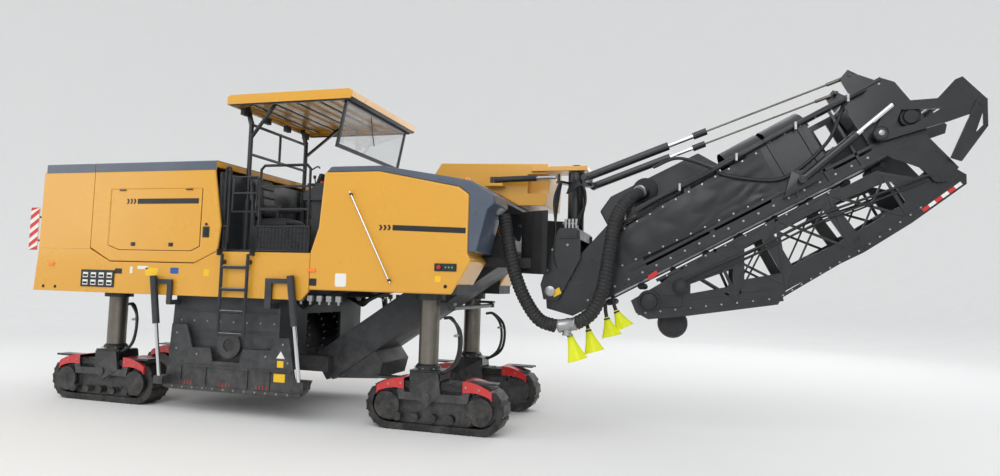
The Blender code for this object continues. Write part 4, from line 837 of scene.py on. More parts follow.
        # painted glow: the red lens finish makes these stop buttons, which are no lamps, glow faintly
        stop = Batch(f"stop_buttons_{side}", "chassis", RED_LENS, 0.002)
        stop.rod((0.255, face, 1.94), (0.255, face + sign * 0.040, 1.94), 0.018, 20)
        stop.rod((0.255, face + sign * 0.030, 1.94), (0.255, face + sign * 0.044, 1.94), 0.024, 20)
        stop.emit()
        lamps = Batch(f"panel_lamps_{side}", "chassis", GREEN_LENS)
        for x in (0.33, 0.37, 0.41):
            lamps.rod((x, face, 1.94), (x, face + sign * 0.020, 1.94), 0.010, 12)
        lamps.emit()
        marker = Batch(f"side_markers_{side}", "chassis", AMBER, 0.003)
        for x in (-5.50, -1.41):
            marker.block((x - 0.05, x + 0.05), (face, face + sign * 0.016), (1.85, 1.89))
        marker.emit()

    def hazard_board(self, side: str, sign: int) -> None:
        """Adds the striped board at the rear corner, with its bands slanted down and outwards.

        Args:
            side: right or left, as the CAD's names have it.
            sign: -1 on the right and 1 on the left.
        """
        x0, x1, z0, z1 = self.rear - 0.165, self.rear - 0.015, 2.06, 2.66
        face = sign * (self.skin - 0.02)
        plate = Batch(f"hazard_board_{side}", "chassis", WHITE_VINYL, 0.001)
        plate.block((x0, x1), (face, face - sign * 0.012), (z0, z1))
        plate.emit()
        fixing = Batch(f"hazard_brackets_{side}", "chassis", BLACK_ENAMEL, 0.002)
        for z in (z0 + 0.12, z1 - 0.15):
            fixing.block((x0 + 0.03, self.rear + 0.05), (face - sign * 0.012, face - sign * 0.030),
                         (z, z + 0.03))
        fixing.emit()
        red = Batch(f"hazard_bands_{side}", "chassis", RED_VINYL)
        wide, slant = 0.065, 0.10
        for start in np.arange(z0 - slant, z1, 2 * wide):
            corners = np.array([[x0, start], [x1, start + slant], [x1, start + slant + wide],
                                [x0, start + wide]])
            corners[:, 1] = np.clip(corners[:, 1], z0, z1)
            if np.ptp(corners[:, 1]) > 0.01:
                red.slab(corners, (face, face + sign * VINYL))
                red.slab(corners, (face - sign * 0.012, face - sign * (0.012 + VINYL)))
        red.emit()

    def rear_face(self) -> None:
        """Adds the radiator grille, the lamps and the blank plate on the back."""
        x = self.rear
        rim = Batch("radiator_rim", "chassis", BLACK_ENAMEL, 0.004)
        rim.block((x - 0.012, x + 0.02), (-0.86, 0.86), (2.88, 2.92))
        rim.block((x - 0.012, x + 0.02), (-0.86, 0.86), (2.00, 2.04))
        for y in (-0.86, -0.01, 0.82):
            rim.block((x - 0.012, x + 0.02), (y, y + 0.04), (2.00, 2.92))
        rim.emit()
        louvres = Batch("radiator_louvres", "chassis", CHASSIS)
        for z in np.arange(2.06, 2.88, 0.055):
            for y0, y1 in ((-0.82, -0.01), (0.03, 0.82)):
                grid = np.array([[[x + 0.012, y0, z + 0.045], [x + 0.012, y1, z + 0.045]],
                                 [[x - 0.008, y0, z], [x - 0.008, y1, z]]])
                louvres.sheet(grid, (0.004, 0, 0.004))
        louvres.emit()
        dark = Batch("radiator_shadow", "chassis", SHADOW)
        dark.block((x - 0.001, x + 0.01), (-0.84, 0.84), (2.02, 2.90))
        dark.emit()
        for name, finish, z in (("red_tail_lamps", RED_LENS, 1.78), ("amber_tail_lamps", AMBER, 1.88)):
            lamp = Batch(name, "chassis", finish, 0.006)
            for sign in SIDES:
                lamp.block((x - 0.035, x + 0.01), (sign * 1.00, sign * 1.14), (z, z + 0.08))
            lamp.emit()
        lamp = Batch("rear_work_lamps", "chassis", CLEAR_LENS, 0.004)
        shell = Batch("rear_lamp_shells", "chassis", ABS, 0.004)
        for sign in SIDES:
            shell.block((x - 0.05, x + 0.04), (sign * 0.95, sign * 1.13), (2.86, 3.00))
            lamp.block((x - 0.058, x - 0.048), (sign * 0.965, sign * 1.115), (2.875, 2.985))
        lamp.emit()
        shell.emit()
        tow = Batch("tow_plate", "chassis", CHASSIS, 0.004)
        tow.block((x - 0.02, x + 0.01), (-0.20, 0.20), (1.54, 1.72))
        tow.rod((x - 0.10, 0, 1.63), (x, 0, 1.63), 0.03)
        for y in (-0.16, 0.16):
            for z in (1.57, 1.69):
                tow.bolt((x - 0.02, y, z), (-1, 0, 0))
        tow.emit()

    def grab_bars(self) -> None:
        """Adds the long bright bars that slant down the front housings on short posts."""
        bar = Batch("grab_bars", "chassis", CHROME)
        foot = Batch("grab_bar_feet", "chassis", BLACK_ENAMEL, 0.002)
        for sign in SIDES:
            y = sign * (self.skin + 0.032)
            bar.tube([(-0.93, y, 2.83), (-0.35, y, 1.74)], 0.011, 12)
            for share in (0.03, 0.97):
                x, z = -0.93 + 0.58 * share, 2.83 - 1.09 * share
                foot.rod((x, sign * self.skin, z), (x, y + sign * 0.012, z), 0.016, 12)
        bar.emit()
        foot.emit()

    def beacon(self) -> None:
        """Adds the amber lamps on the far top, on their bases."""
        amber = Batch("beacons", "chassis", AMBER)
        for sign in SIDES:
            amber.lathe((0.46, sign * 0.95, 2.90), (0.46, sign * 0.95, 3.03),
                        ((0, 0.045), (0.1, 0.055), (0.7, 0.05), (0.92, 0.035), (1, 0.012)), 20)
        amber.emit()
        base = Batch("beacon_bases", "chassis", ABS)
        for sign in SIDES:
            base.rod((0.46, sign * 0.95, 2.86), (0.46, sign * 0.95, 2.905), 0.06, 20)
        base.emit()


# ---------------------------------------------------------------- undercarriage
@dataclass
class Undercarriage:
    """Four legs on short tracks: yoke, column, guards, chain, plates and rollers."""
    wheelbase: float = 4.69
    gauge: float = 1.66
    front_shift: float = 0.14           # track's middle from its column
    rear_shift: float = -0.05
    track_length: float = 1.74
    track_height: float = 0.58
    track_width: float = 0.30
    shoes: int = 46
    column_radius: float = 0.12

    def build(self) -> None:
        """Dresses each leg and lays its track."""
        for end, x, shift in (("front", 0.0, self.front_shift), ("rear", -self.wheelbase, self.rear_shift)):
            for side, sign in (("right", -1), ("left", 1)):
                body = f"{end}_{side}_undercarriage"
                y = sign * self.gauge / 2
                self.leg(end, side, body, x, y, shift)
                self.track(f"{end}_{side}", body, x + shift, y)
                self.leg_hoses(f"{end}_{side}", body, x, y)
        dress("tie_rod", BLACK_ENAMEL)

    def leg(self, end: str, side: str, body: str, x: float, y: float, shift: float) -> None:
        """Dresses one leg: charcoal yoke, oiled steel column and red guards over both ends of the track.

        Args:
            end: front or rear.
            side: right or left, as the CAD's names have it.
            body: the body that carries it.
            x: the column's axis along X.
            y: the column's axis along Y.
            shift: the track's middle from the column.
        """
        def column(spots: np.ndarray) -> np.ndarray:
            """Holds on the round column above the yoke."""
            return (spots[:, 2] > 0.74) & (np.hypot(spots[:, 0] - x,
                                                    spots[:, 1] - y) < self.column_radius + 0.004)

        def collar(spots: np.ndarray) -> np.ndarray:
            """Holds on the plates round the column's foot."""
            return (spots[:, 2] > 0.60) & ~column(spots)

        soften(f"leg_{end}_{side}", body, CHASSIS, 0.006, (GROUND_STEEL, column), (BLACK_ENAMEL, collar))
        mid = x + shift
        half = self.track_length / 2
        reach = self.track_width / 2 + 0.035
        guard = Batch(f"track_guards_{end}_{side}", body, GUARD_RED)
        for way in SIDES:
            share = np.linspace(0, 1, 9)
            inner, outer = mid + way * (half - 0.50), mid + way * (half - 0.16)
            spine = np.stack([inner + (outer - inner) * share, 0.625 - 0.10 * share ** 2.2], -1)
            low = np.stack([spine[:, 0], spine[:, 1] - 0.13 + 0.05 * share], -1)
            section = [(-reach, low), (-reach, spine), (reach, spine), (reach, low)]
            grid = np.stack([np.stack([line[:, 0], np.full(9, y + across), line[:, 1]], -1)
                             for across, line in section], 0)
            guard.sheet(grid, (0, 0, -0.006))
            guard.slab([(outer, 0.53), (outer + way * 0.012, 0.52), (outer + way * 0.012, 0.42),
                        (outer, 0.43)],
                       (y - reach, y + reach))
        guard.emit(30)
        bolts = Batch(f"leg_bolts_{end}_{side}", body, ZINC)
        for away in SIDES:
            face = y + away * (reach + 0.001)
            for way in SIDES:
                for along, height in ((0.46, 0.56), (0.30, 0.54)):
                    bolts.bolt((mid + way * (half - along), face, height), (0, away, 0), 0.012)
        for i in range(8):
            turn = 2 * math.pi * i / 8
            bolts.bolt((x + 0.165 * math.cos(turn), y + 0.165 * math.sin(turn), 0.735), (0, 0, 1), 0.012)
        bolts.emit()
        seal = Batch(f"column_seals_{end}_{side}", body, HOSE)
        seal.lathe((x, y, 0.735), (x, y, 0.79), ((0, 0.150), (0.5, 0.150), (0.8, 0.135), (1, 0.123)), 32)
        seal.emit()
        self.rollers(f"{end}_{side}", body, mid, y)

    def rollers(self, name: str, body: str, mid: float, y: float) -> None:
        """Adds the bottom rollers, the drive motor's cover on the outside and the idler's hub.

        Args:
            name: which track.
            body: the body that carries them.
            mid: the track's middle along X.
            y: the track's middle along Y.
        """
        away = math.copysign(1, y)
        roll = Batch(f"rollers_{name}", body, TRACK_STEEL)
        hub = Batch(f"hubs_{name}", body, CASTING, 0.003)
        face = y + away * (self.track_width / 2)
        for share in np.linspace(-0.62, 0.62, 5):
            at = mid + share * (self.track_length / 2 - 0.16)
            roll.lathe((at, y - 0.10, 0.17), (at, y + 0.10, 0.17),
                       ((0, 0.05), (0.02, 0.075), (0.25, 0.075), (0.28, 0.055), (0.72, 0.055), (0.75, 0.075),
                        (0.98, 0.075), (1, 0.05)), 20)
            hub.lathe((at, face - 0.05, 0.17), (at, face + 0.012, 0.17),
                      ((0, 0.05), (0.7, 0.05), (0.9, 0.035), (1, 0.012)), 20)
        for way in SIDES:
            at = mid + way * (self.track_length / 2 - self.track_height / 2)
            hub.lathe((at, face - 0.04, 0.29), (at, face + 0.055, 0.29),
                      ((0, 0.16), (0.3, 0.16), (0.45, 0.13), (0.75, 0.12), (0.9, 0.09), (1, 0.03)), 32)
            for i in range(10):
                turn = 2 * math.pi * i / 10
                hub.bolt((at + 0.142 * math.cos(turn), face - 0.005, 0.29 + 0.142 * math.sin(turn)),
                         (0, away, 0), 0.010)
        roll.emit()
        hub.emit()

    def track(self, name: str, body: str, mid: float, y: float) -> None:
        """Lays plates on a loop of two straights and two half circles, each with a bar across and two
        chain links.

        Args:
            name: which track.
            body: the body that carries it.
            mid: the loop's middle along X.
            y: the loop's middle along Y.
        """
        soften(f"track_{name}", body, TRACK_STEEL, 0.003)
        radius = self.track_height / 2
        straight = self.track_length - 2 * radius
        length = 2 * straight + 2 * math.pi * (radius - 0.03)
        pitch = length / self.shoes
        s = np.arange(self.shoes) * pitch
        bend = math.pi * (radius - 0.03)
        places = []
        for each in s:
            if each < straight:
                places.append((each - straight / 2, radius - (radius - 0.03), 0.0))
            elif each < straight + bend:
                turn = (each - straight) / (radius - 0.03)
                places.append((straight / 2 + (radius - 0.03) * math.sin(turn),
                               radius - (radius - 0.03) * math.cos(turn), turn))
            elif each < 2 * straight + bend:
                places.append((straight / 2 - (each - straight - bend), radius + (radius - 0.03), math.pi))
            else:
                turn = (each - 2 * straight - bend) / (radius - 0.03)
                places.append((-straight / 2 - (radius - 0.03) * math.sin(turn),
                               radius + (radius - 0.03) * math.cos(turn), math.pi + turn))
        wide = self.track_width / 2 + 0.004
        plate = np.array([(-0.47 * pitch, -0.012), (0.47 * pitch, -0.012), (0.47 * pitch, 0.006),
                          (-0.47 * pitch, 0.006)])
        grouser = np.array([(-0.006, -0.030), (0.010, -0.030), (0.014, -0.011), (-0.012, -0.011)])
        link = np.array([(-0.55 * pitch, 0.006), (0.55 * pitch, 0.006), (0.50 * pitch, 0.050),
                         (0.2 * pitch, 0.062),
                         (-0.2 * pitch, 0.062), (-0.50 * pitch, 0.050)])
        shoes = Batch(f"track_plates_{name}", body, TRACK_STEEL)
        chain = Batch(f"track_links_{name}", body, CASTING)
        for at, height, turn in places:
            spin = np.array([[math.cos(turn), math.sin(turn)], [-math.sin(turn), math.cos(turn)]])
            here = np.array([mid + at, height])
            shoes.slab(here + plate @ spin, (y - wide, y + wide))
            shoes.slab(here + grouser @ spin, (y - wide, y + wide))
            for away in SIDES:
                chain.slab(here + link @ spin, sorted((y + away * 0.045, y + away * 0.070)))
        shoes.emit()
        chain.emit()

    def leg_hoses(self, name: str, body: str, x: float, y: float) -> None:
        """Hangs the track motor's hoses from the hull's underside down to the yoke in one easy bow.

        Args:
            name: which leg.
            body: the body that carries them.
            x: the column's axis along X.
            y: the column's axis along Y.
        """
        away = math.copysign(1, y)
        hose = Batch(f"leg_hoses_{name}", body, HOSE)
        for shift, spread in ((0.0, 0.0), (0.035, 0.035)):
            route = [(x + 0.20, y + away * 0.02, 1.34), (x + 0.30, y + away * (0.04 + spread), 1.34),
                     (x + 0.40 + shift, y + away * (0.08 + spread), 1.20),
                     (x + 0.42 + shift, y + away * (0.10 + spread), 0.98),
                     (x + 0.36 + shift, y + away * (0.10 + spread), 0.80),
                     (x + 0.22, y + away * (0.09 + spread), 0.69),
                     (x + 0.08, y + away * (0.06 + spread), 0.67)]
            hose.tube(route, 0.019, 10, 6)
        hose.emit(60)
        clip = Batch(f"hose_clips_{name}", body, ZINC)
        clip.lathe((x + 0.395, y + away * 0.10, 1.16), (x + 0.40, y + away * 0.10, 1.13),
                   ((0, 0.035), (0.2, 0.045), (0.8, 0.045), (1, 0.035)), 16)
        clip.emit()


# ---------------------------------------------------------------- milling unit
@dataclass
class MillingUnit:
    """The drum with its tool holders, its box, the side plates and the scraper."""
    drum_x: float = -2.62
    drum_z: float = 0.89
    barrel: float = 0.44            # the drum's tube
    reach: float = 0.50             # to the tool tips
    half: float = 1.0
    turns: float = 2.5              # of each spiral
    tools: int = 36                 # on each spiral
    housing_half: float = 1.07

    def build(self) -> None:
        """Dresses the unit's castings and plates, then adds tools, ribs, bolts and marks."""
        soften("drum_housing", "chassis", CHASSIS, 0.005)
        soften("scraper", "chassis", CHASSIS, 0.004)
        dress("milling_drum", CASTING)
        for side, sign in (("right", -1), ("left", 1)):
            body = f"side_plate_{side}_body"
            dress(f"side_plate_{side}", CHASSIS, (CHROME, lambda spots: (np.abs(spots[:, 1]) > 1.25)
                                                  & (spots[:, 2] > 0.75)))
            self.plate_marks(side, sign, body)
        self.drum_tools()
        self.housing_details()

    def drum_tools(self) -> None:
        """Sets cone tools in holders along two spirals that meet in the middle: the angle grows evenly
        along Y.
        """
        holders = Batch("tool_holders", "drum", CASTING)
        tips = Batch("cutting_tools", "drum", ZINC)
        for start in (0.0, math.pi):
            for way in SIDES:
                for share in np.linspace(0.02, 0.97, self.tools):
                    turn = start + way * 2 * math.pi * self.turns * share / 2
                    y = way * self.half * share
                    out = np.array([math.cos(turn), 0, math.sin(turn)])
                    lean = np.array([-math.sin(turn), 0, math.cos(turn)])
                    base = np.array([self.drum_x, y, self.drum_z]) + out * (self.barrel - 0.012)
                    holders.tube([base, base + out * 0.030 + lean * 0.006], np.array([0.026, 0.019]), 8)
                    tips.tube([base + out * 0.028 + lean * 0.006, base + out * 0.060 + lean * 0.018],
                              np.array([0.012, 0.003]), 8)
        holders.emit()
        tips.emit()

    def plate_marks(self, side: str, sign: int, body: str) -> None:
        """Adds a side plate's stiffeners, bolts, height marks and blank stickers.

        Args:
            side: right or left, as the CAD's names have it.
            sign: -1 on the right and 1 on the left.
            body: the side plate's body.
        """
        face = sign * (self.housing_half + 0.010 + 0.05 + 0.030)
        rib = Batch(f"plate_ribs_{side}", body, CHASSIS, 0.002)
        out = (face, face + sign * 0.014)
        rib.slab([(-3.48, 0.31), (-1.52, 0.31), (-1.50, 0.36), (-3.49, 0.36)], out)
        rib.slab([(-3.22, 0.60), (-1.66, 0.60), (-1.66, 0.625), (-3.22, 0.625)], out)
        for x in (-3.30, -2.92, -2.30, -1.98):
            rib.slab([(x, 0.36), (x + 0.022, 0.36), (x + 0.022, 0.60), (x, 0.60)], out)
        rib.emit()
        bolts = Batch(f"plate_bolts_{side}", body, ZINC)
        for x in np.arange(-3.40, -1.55, 0.155):
            bolts.bolt((x, face + sign * 0.014, 0.335), (0, sign, 0), 0.011)
        for x, z in ((-3.38, 1.02), (-3.38, 0.82), (-1.80, 0.94), (-1.72, 0.72), (-2.04, 0.78),
                     (-3.06, 0.76)):
            bolts.bolt((x, face, z), (0, sign, 0), 0.012)
        bolts.emit()
        ticks = Batch(f"height_marks_{side}", body, RED_VINYL)
        for start in (-3.28, -2.70, -2.16):
            for i in range(4):
                ticks.slab([(start + 0.05 * i, 0.37), (start + 0.05 * i + 0.008, 0.37),
                            (start + 0.05 * i + 0.008, 0.37 + 0.05), (start + 0.05 * i, 0.42)],
                           (face, face + sign * VINYL))
        ticks.emit()
        stick = Batch(f"plate_stickers_{side}", body, YELLOW_VINYL)
        near = (face, face + sign * VINYL)
        stick.slab([(-1.87, 0.66), (-1.78, 0.66), (-1.78, 0.74), (-1.87, 0.74)], near)
        stick.slab([(-1.91, 0.48), (-1.75, 0.48), (-1.75, 0.58), (-1.91, 0.58)], near)
        stick.emit()
        warn = Batch(f"plate_triangle_{side}", body, WHITE_VINYL)
        warn.slab([(-1.885, 0.77), (-1.765, 0.77), (-1.825, 0.86)], near)
        warn.emit()

    def housing_details(self) -> None:
        """Adds the box's stiffeners, its bolts, and the hoses and valves that show beside it."""
        rib = Batch("housing_ribs", "chassis", CHASSIS, 0.003)
        bolts = Batch("housing_bolts", "chassis", ZINC)
        for sign in SIDES:
            face = sign * self.housing_half
            for z in (1.05, 1.30):
                rib.slab([(-3.44, z), (-1.98, z), (-1.98, z + 0.02), (-3.44, z + 0.02)],
                         (face, face + sign * 0.012))
            for x in np.arange(-3.40, -1.98, 0.20):
                bolts.bolt((x, face, 1.54), (0, sign, 0), 0.012)
                bolts.bolt((x, face, 1.18), (0, sign, 0), 0.010)
        rib.emit()
        bolts.emit()
        lines = Batch("housing_hoses", "chassis", HOSE)
        for sign in SIDES:
            for i in range(4):
                y = sign * (0.62 + 0.06 * i)
                lines.tube([(-1.90, y, 1.50), (-1.76, y, 1.44 - 0.02 * i), (-1.62, y, 1.47), (-1.42, y, 1.56),
                            (-1.20, y, 1.62)], 0.016, 8, 5)
        lines.emit(60)
        valve = Batch("housing_valves", "chassis", ZINC, 0.002)
        for sign in SIDES:
            for i in range(5):
                x = -1.62 + 0.13 * i
                valve.block((x, x + 0.07), (sign * 1.13, sign * 1.17), (1.49, 1.56))
                valve.rod((x + 0.035, sign * 1.15, 1.45), (x + 0.035, sign * 1.15, 1.50), 0.016, 10)
        valve.emit()


# ---------------------------------------------------------------- operator's place
@dataclass
class OperatorPlace:
    """The platform with its desk, rails, baskets, seats, ladders and canopy."""
    floor: float = 2.08
    rail_y: float = 1.15
    seat_y: float = 0.60
    roof_low: float = 4.06
    roof_x: Outline = (-2.95, -1.09)
    glass: Outline = ((-1.21, 4.07), (-1.33, 3.46))

    def build(self) -> None:
        """Dresses the pieces and adds what hangs on them."""
        soften("platform", "chassis", CHASSIS, 0.005)
        for side, sign in (("right", -1), ("left", 1)):
            dress(f"guard_rail_{side}", BLACK_ENAMEL)
            dress(f"gate_{side}", BLACK_ENAMEL)
            dress(f"ladder_{side}", BLACK_ENAMEL)
            self.basket(side, sign)
            self.ladder_treads(side, sign)
            self.seat(side, sign)
            self.desk_controls(side, sign)
        self.canopy()
        self.window()
        self.floor_tread()

    def basket(self, side: str, sign: int) -> None:
        """Weaves the wire baskets at the rail's foot: thin bars upright and level on a frame.

        Args:
            side: right or left, as the CAD's names have it.
            sign: -1 on the right and 1 on the left.
        """
        wires = Batch(f"rail_basket_{side}", "chassis", BLACK_ENAMEL)
        y = sign * (self.rail_y + 0.030)
        low, high = 2.10, 2.41
        for x0, x1 in ((-2.26, -1.50), (-2.80, -2.68)):
            for x in np.arange(x0, x1 + 0.001, 0.050):
                wires.rod((x, y, low), (x, y, high), 0.004, 6)
            for z in np.arange(low, high + 0.001, 0.062):
                wires.rod((x0, y, z), (x1, y, z), 0.004, 6)
            for z in (low, high):
                wires.rod((x0 - 0.01, y, z), (x1 + 0.01, y, z), 0.010, 8)
        wires.emit()
        lamp = Batch(f"rail_lamp_{side}", "chassis", CLEAR_LENS, 0.003)
        shell = Batch(f"rail_lamp_shell_{side}", "chassis", ABS, 0.003)
        shell.lathe((-2.90, sign * 1.08, 3.08), (-2.82, sign * 1.08, 3.08),
                    ((0, 0.055), (0.6, 0.055), (1, 0.025)), 20)
        lamp.lathe((-2.905, sign * 1.08, 3.08), (-2.895, sign * 1.08, 3.08), ((0, 0.03), (1, 0.052)), 20)
        shell.emit()
        lamp.emit()
        arm = Batch(f"mirror_arm_{side}", "chassis", BLACK_ENAMEL)
        arm.tube([(-1.53, sign * 1.15, 3.12), (-1.44, sign * 1.16, 3.16), (-1.40, sign * 1.17, 3.14)],
                 0.010, 8, 4)
        arm.rod((-2.78, sign * 1.12, 3.08), (-2.84, sign * 1.08, 3.08), 0.010, 8)
        arm.emit()

    def ladder_treads(self, side: str, sign: int) -> None:
        """Adds ribbed treads on the rungs and the hinge ears.

        Args:
            side: right or left, as the CAD's names have it.
            sign: -1 on the right and 1 on the left.
        """
        tread = Batch(f"ladder_treads_{side}", f"ladder_{side}_body", ZINC, 0.0015)
        y = sign * (HULL + 0.055)
        for z in (1.04, 1.32, 1.60, 1.88):
            tread.block((-2.645, -2.315), (y - 0.024, y + 0.024), (z + 0.014, z + 0.021))
            for x in np.arange(-2.63, -2.32, 0.03):
                tread.block((x, x + 0.008), (y - 0.024, y + 0.024), (z + 0.019, z + 0.026))
        tread.emit()
        ears = Batch(f"ladder_ears_{side}", "chassis", CHASSIS, 0.002)
        for x in (-2.72, -2.24):
            ears.block((x - 0.008, x + 0.008), (sign * (HULL - 0.005), sign * (HULL + 0.095)), (2.03, 2.11))
        ears.emit()

    def seat(self, side: str, sign: int) -> None:
        """Replaces the plain seat: crowned cushions with sewn channels over a shell on a sprung foot.

        Args:
            side: right or left, as the CAD's names have it.
            sign: -1 on the right and 1 on the left.
        """
        y = sign * self.seat_y
        pan = self.cushion((-2.55, -2.06), y, 0.235, 2.462, 0.10, False)
        back = self.cushion((2.57, 3.10), y, 0.190, 0, 0.10, True)
        for name, mesh in ((f"seat_cushion_{side}", pan), (f"seat_back_{side}", back)):
            obj = place_mesh(name, mesh, "chassis", SEAT_VINYL, 0.0, 60)
            if name.startswith("seat_cushion"):
                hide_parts(f"seat_{side}")
        shell = Batch(f"seat_shell_{side}", "chassis", ABS, 0.006)
        shell.slab([(-2.54, 2.425), (-2.07, 2.425), (-2.07, 2.455), (-2.54, 2.455)], (y - 0.225, y + 0.225))
        shell.slab([(-2.60, 2.45), (-2.575, 2.44), (-2.655, 3.06), (-2.675, 3.06)], (y - 0.17, y + 0.17))
        for away in SIDES:
            shell.slab([(-2.48, 2.66), (-2.14, 2.68), (-2.14, 2.72), (-2.50, 2.71)],
                       sorted((y + away * 0.215, y + away * 0.245)))
            shell.slab([(-2.47, 2.46), (-2.44, 2.46), (-2.46, 2.68), (-2.49, 2.68)],
                       sorted((y + away * 0.22, y + away * 0.24)))
        shell.emit()
        foot = Batch(f"seat_foot_{side}", "chassis", HOSE)
        folds = [(share, 0.105 + 0.016 * math.cos(share * 5 * 2 * math.pi)) for share in np.linspace(0, 1,
                                                                                                     41)]
        foot.lathe((-2.30, y, self.floor + 0.005), (-2.30, y, 2.425), folds, 28)
        foot.emit(70)

    def cushion(self, along: Outline, y: float, half: float, base: float, deep: float,
                upright: bool) -> bpy.types.Mesh:
        """Gives a crowned pad: thickness = deep times the fourth root of (1-u^4)(1-v^4), less narrow sewn
        channels.

        Args:
            along: where it starts and ends, along X for a seat or up Z for a back.
            y: its middle.
            half: half its width.
            base: its underside.
            deep: its thickness.
            upright: it is a back, leaning rearwards.

        Returns:
            The closed mesh.
        """
        u, v = np.meshgrid(np.linspace(-1, 1, 41), np.linspace(-1, 1, 37), indexing="ij")
        crown = np.clip((1 - u ** 4) * (1 - v ** 4), 0, 1) ** 0.25
        seam = np.zeros_like(u)
        for line in (-0.45, 0.0, 0.45):
            seam += np.exp(-((u - line) / 0.035) ** 2) * 0.10
        seam += np.exp(-((np.abs(v) - 0.72) / 0.03) ** 2) * 0.10
        height = deep * crown * (1 - seam) * (1 + 0.06 * v ** 2)
        pull = 1 - 0.025 * (1 - np.abs(u)) * v ** 8
        place = (along[0] + along[1]) / 2 + u * (along[1] - along[0]) / 2
        side = y + half * v * pull
        mesh = Mesh()
        if upright:
            lean = -2.565 - (place - along[0]) * 0.155
            face = np.stack([lean + height, side, place], -1)
            behind = np.stack([lean - 0.12 * height, side, place], -1)
        else:
            face = np.stack([place, side, base + height], -1)
            behind = np.stack([place, side, base - 0.10 * height], -1)
        quads = grid_faces(41, 37)
        points = np.vstack([face.reshape(-1, 3), behind.reshape(-1, 3)]) + DATUM
        forward = quads if not upright else [q[::-1] for q in quads]
        mesh.add(points, forward + [[i + 41 * 37 for i in q[::-1]] for q in forward])
        data = bpy.data.meshes.new("cushion")
        data.from_pydata(points.tolist(), [], mesh.faces)
        shape = bmesh.new()
        shape.from_mesh(data)
        bmesh.ops.remove_doubles(shape, verts=shape.verts, dist=0.0004)
        bmesh.ops.recalc_face_normals(shape, faces=shape.faces)
        shape.to_mesh(data)
        shape.free()
        return data

    def desk_controls(self, side: str, sign: int) -> None:
        """Adds a screen, three levers and a stop button on the desk.

        Args:
            side: right or left, as the CAD's names have it.
            sign: -1 on the right and 1 on the left.
        """
        box = Batch(f"desk_screen_{side}", "chassis", ABS, 0.004)
        y = sign * 0.55
        box.slab([(-1.76, 3.00), (-1.72, 3.00), (-1.66, 3.16), (-1.70, 3.16)], (y - 0.13, y + 0.13))
        box.block((-1.80, -1.55), (sign * 0.22, sign * 0.80), (2.99, 3.012))
        for at in (0.30, 0.38, 0.72):
            box.rod((-1.72, sign * at, 2.99), (-1.74, sign * at, 3.09), 0.008, 8)
            box.lathe((-1.74, sign * at, 3.08), (-1.745, sign * at, 3.13),
                      ((0, 0.012), (0.4, 0.020), (0.9, 0.018), (1, 0.006)), 14)
        box.emit()
        # painted glow: the red lens finish makes this stop button, which is no lamp, glow faintly
        stop = Batch(f"desk_stop_{side}", "chassis", RED_LENS)
        stop.rod((-1.62, sign * 0.74, 3.01), (-1.62, sign * 0.74, 3.045), 0.02, 18)
        stop.emit()

    def canopy(self) -> None:
        """Dresses the roof and adds its side mouldings, lamps and the lining's ribs."""
        def posts(spots: np.ndarray) -> np.ndarray:
            """Holds on the posts, the stays and the roof's lining."""
            return spots[:, 2] < 4.075

        soften("canopy", "canopy_body", ENAMEL, 0.008, (BLACK_ENAMEL, posts))
        x0, x1 = self.roof_x
        trim = Batch("roof_mouldings", "canopy_body", ENAMEL, 0.004)
        for sign in SIDES:
            trim.block((x0 + 0.02, x1 - 0.02), (sign * 0.995, sign * 1.008),
                       (self.roof_low + 0.002, self.roof_low + 0.035))
        trim.emit()
        ribs = Batch("roof_ribs", "canopy_body", BLACK_ENAMEL, 0.003)
        for x in np.linspace(x0 + 0.25, x1 - 0.25, 5):
            ribs.block((x - 0.02, x + 0.02), (-0.88, 0.88), (4.085, 4.105))
        ribs.emit()
        # painted shade: a black strip under each side of the roof's edge stands for the shade below the roof
        dark = Batch("roof_edge_shade", "canopy_body", BLACK_ENAMEL, 0.002)
        for sign in SIDES:
            dark.block((x0 + 0.05, x1 - 0.08), (sign * 0.955, sign * 0.99),
                       (self.roof_low - 0.014, self.roof_low + 0.004))
        dark.emit()
        lamps = Batch("roof_lamps", "canopy_body", CLEAR_LENS, 0.003)
        shells = Batch("roof_lamp_shells", "canopy_body", ABS, 0.003)
        for y in (-0.75, -0.25, 0.25, 0.75):
            x = x0 + 0.10
            shells.block((x - 0.03, x + 0.03), (y - 0.06, y + 0.06), (3.97, 4.06))
            lamps.block((x - 0.034, x - 0.030), (y - 0.05, y + 0.05), (3.98, 4.05))
        lamps.emit()
        shells.emit()

    def window(self) -> None:
        """Sets the tinted pane in its frame, with a wiper."""
        dress("window_frame", BLACK_ENAMEL)
        (x0, z0), (x1, z1) = self.glass
        pane = Batch("window_pane", "window_body", GLASS)
        edge = np.array([[x0 + (x1 - x0) * 0.06, z0 + (z1 - z0) * 0.06],
                         [x0 + (x1 - x0) * 0.94, z0 + (z1 - z0) * 0.94]])
        grid = np.array([[[x, y, z] for y in (-0.90, 0.90)] for x, z in edge])
        pane.sheet(grid, (0.006, 0, 0.001))
        pane.emit()
        wiper = Batch("window_wiper", "window_body", ABS, 0.001)
        wiper.tube([(-1.20, -0.25, 4.00), (-1.245, -0.10, 3.80), (-1.275, 0.02, 3.66)], 0.007, 8, 4)
        wiper.emit()

    def floor_tread(self) -> None:
        """Lays a chequer plate: short raised bars, turned by turns, on the platform's floor."""
        plate = Batch("chequer_plate", "chassis", ZINC)
        for i, x in enumerate(np.arange(-2.70, -1.80, 0.075)):
            for j, y in enumerate(np.arange(-1.05, 1.06, 0.075)):
                a = math.radians(45 if (i + j) % 2 else -45)
                c, s = 0.024 * math.cos(a), 0.024 * math.sin(a)
                plate.rod((x - c, y - s, self.floor + 0.001), (x + c, y + s, self.floor + 0.001), 0.004, 6)
        plate.emit()


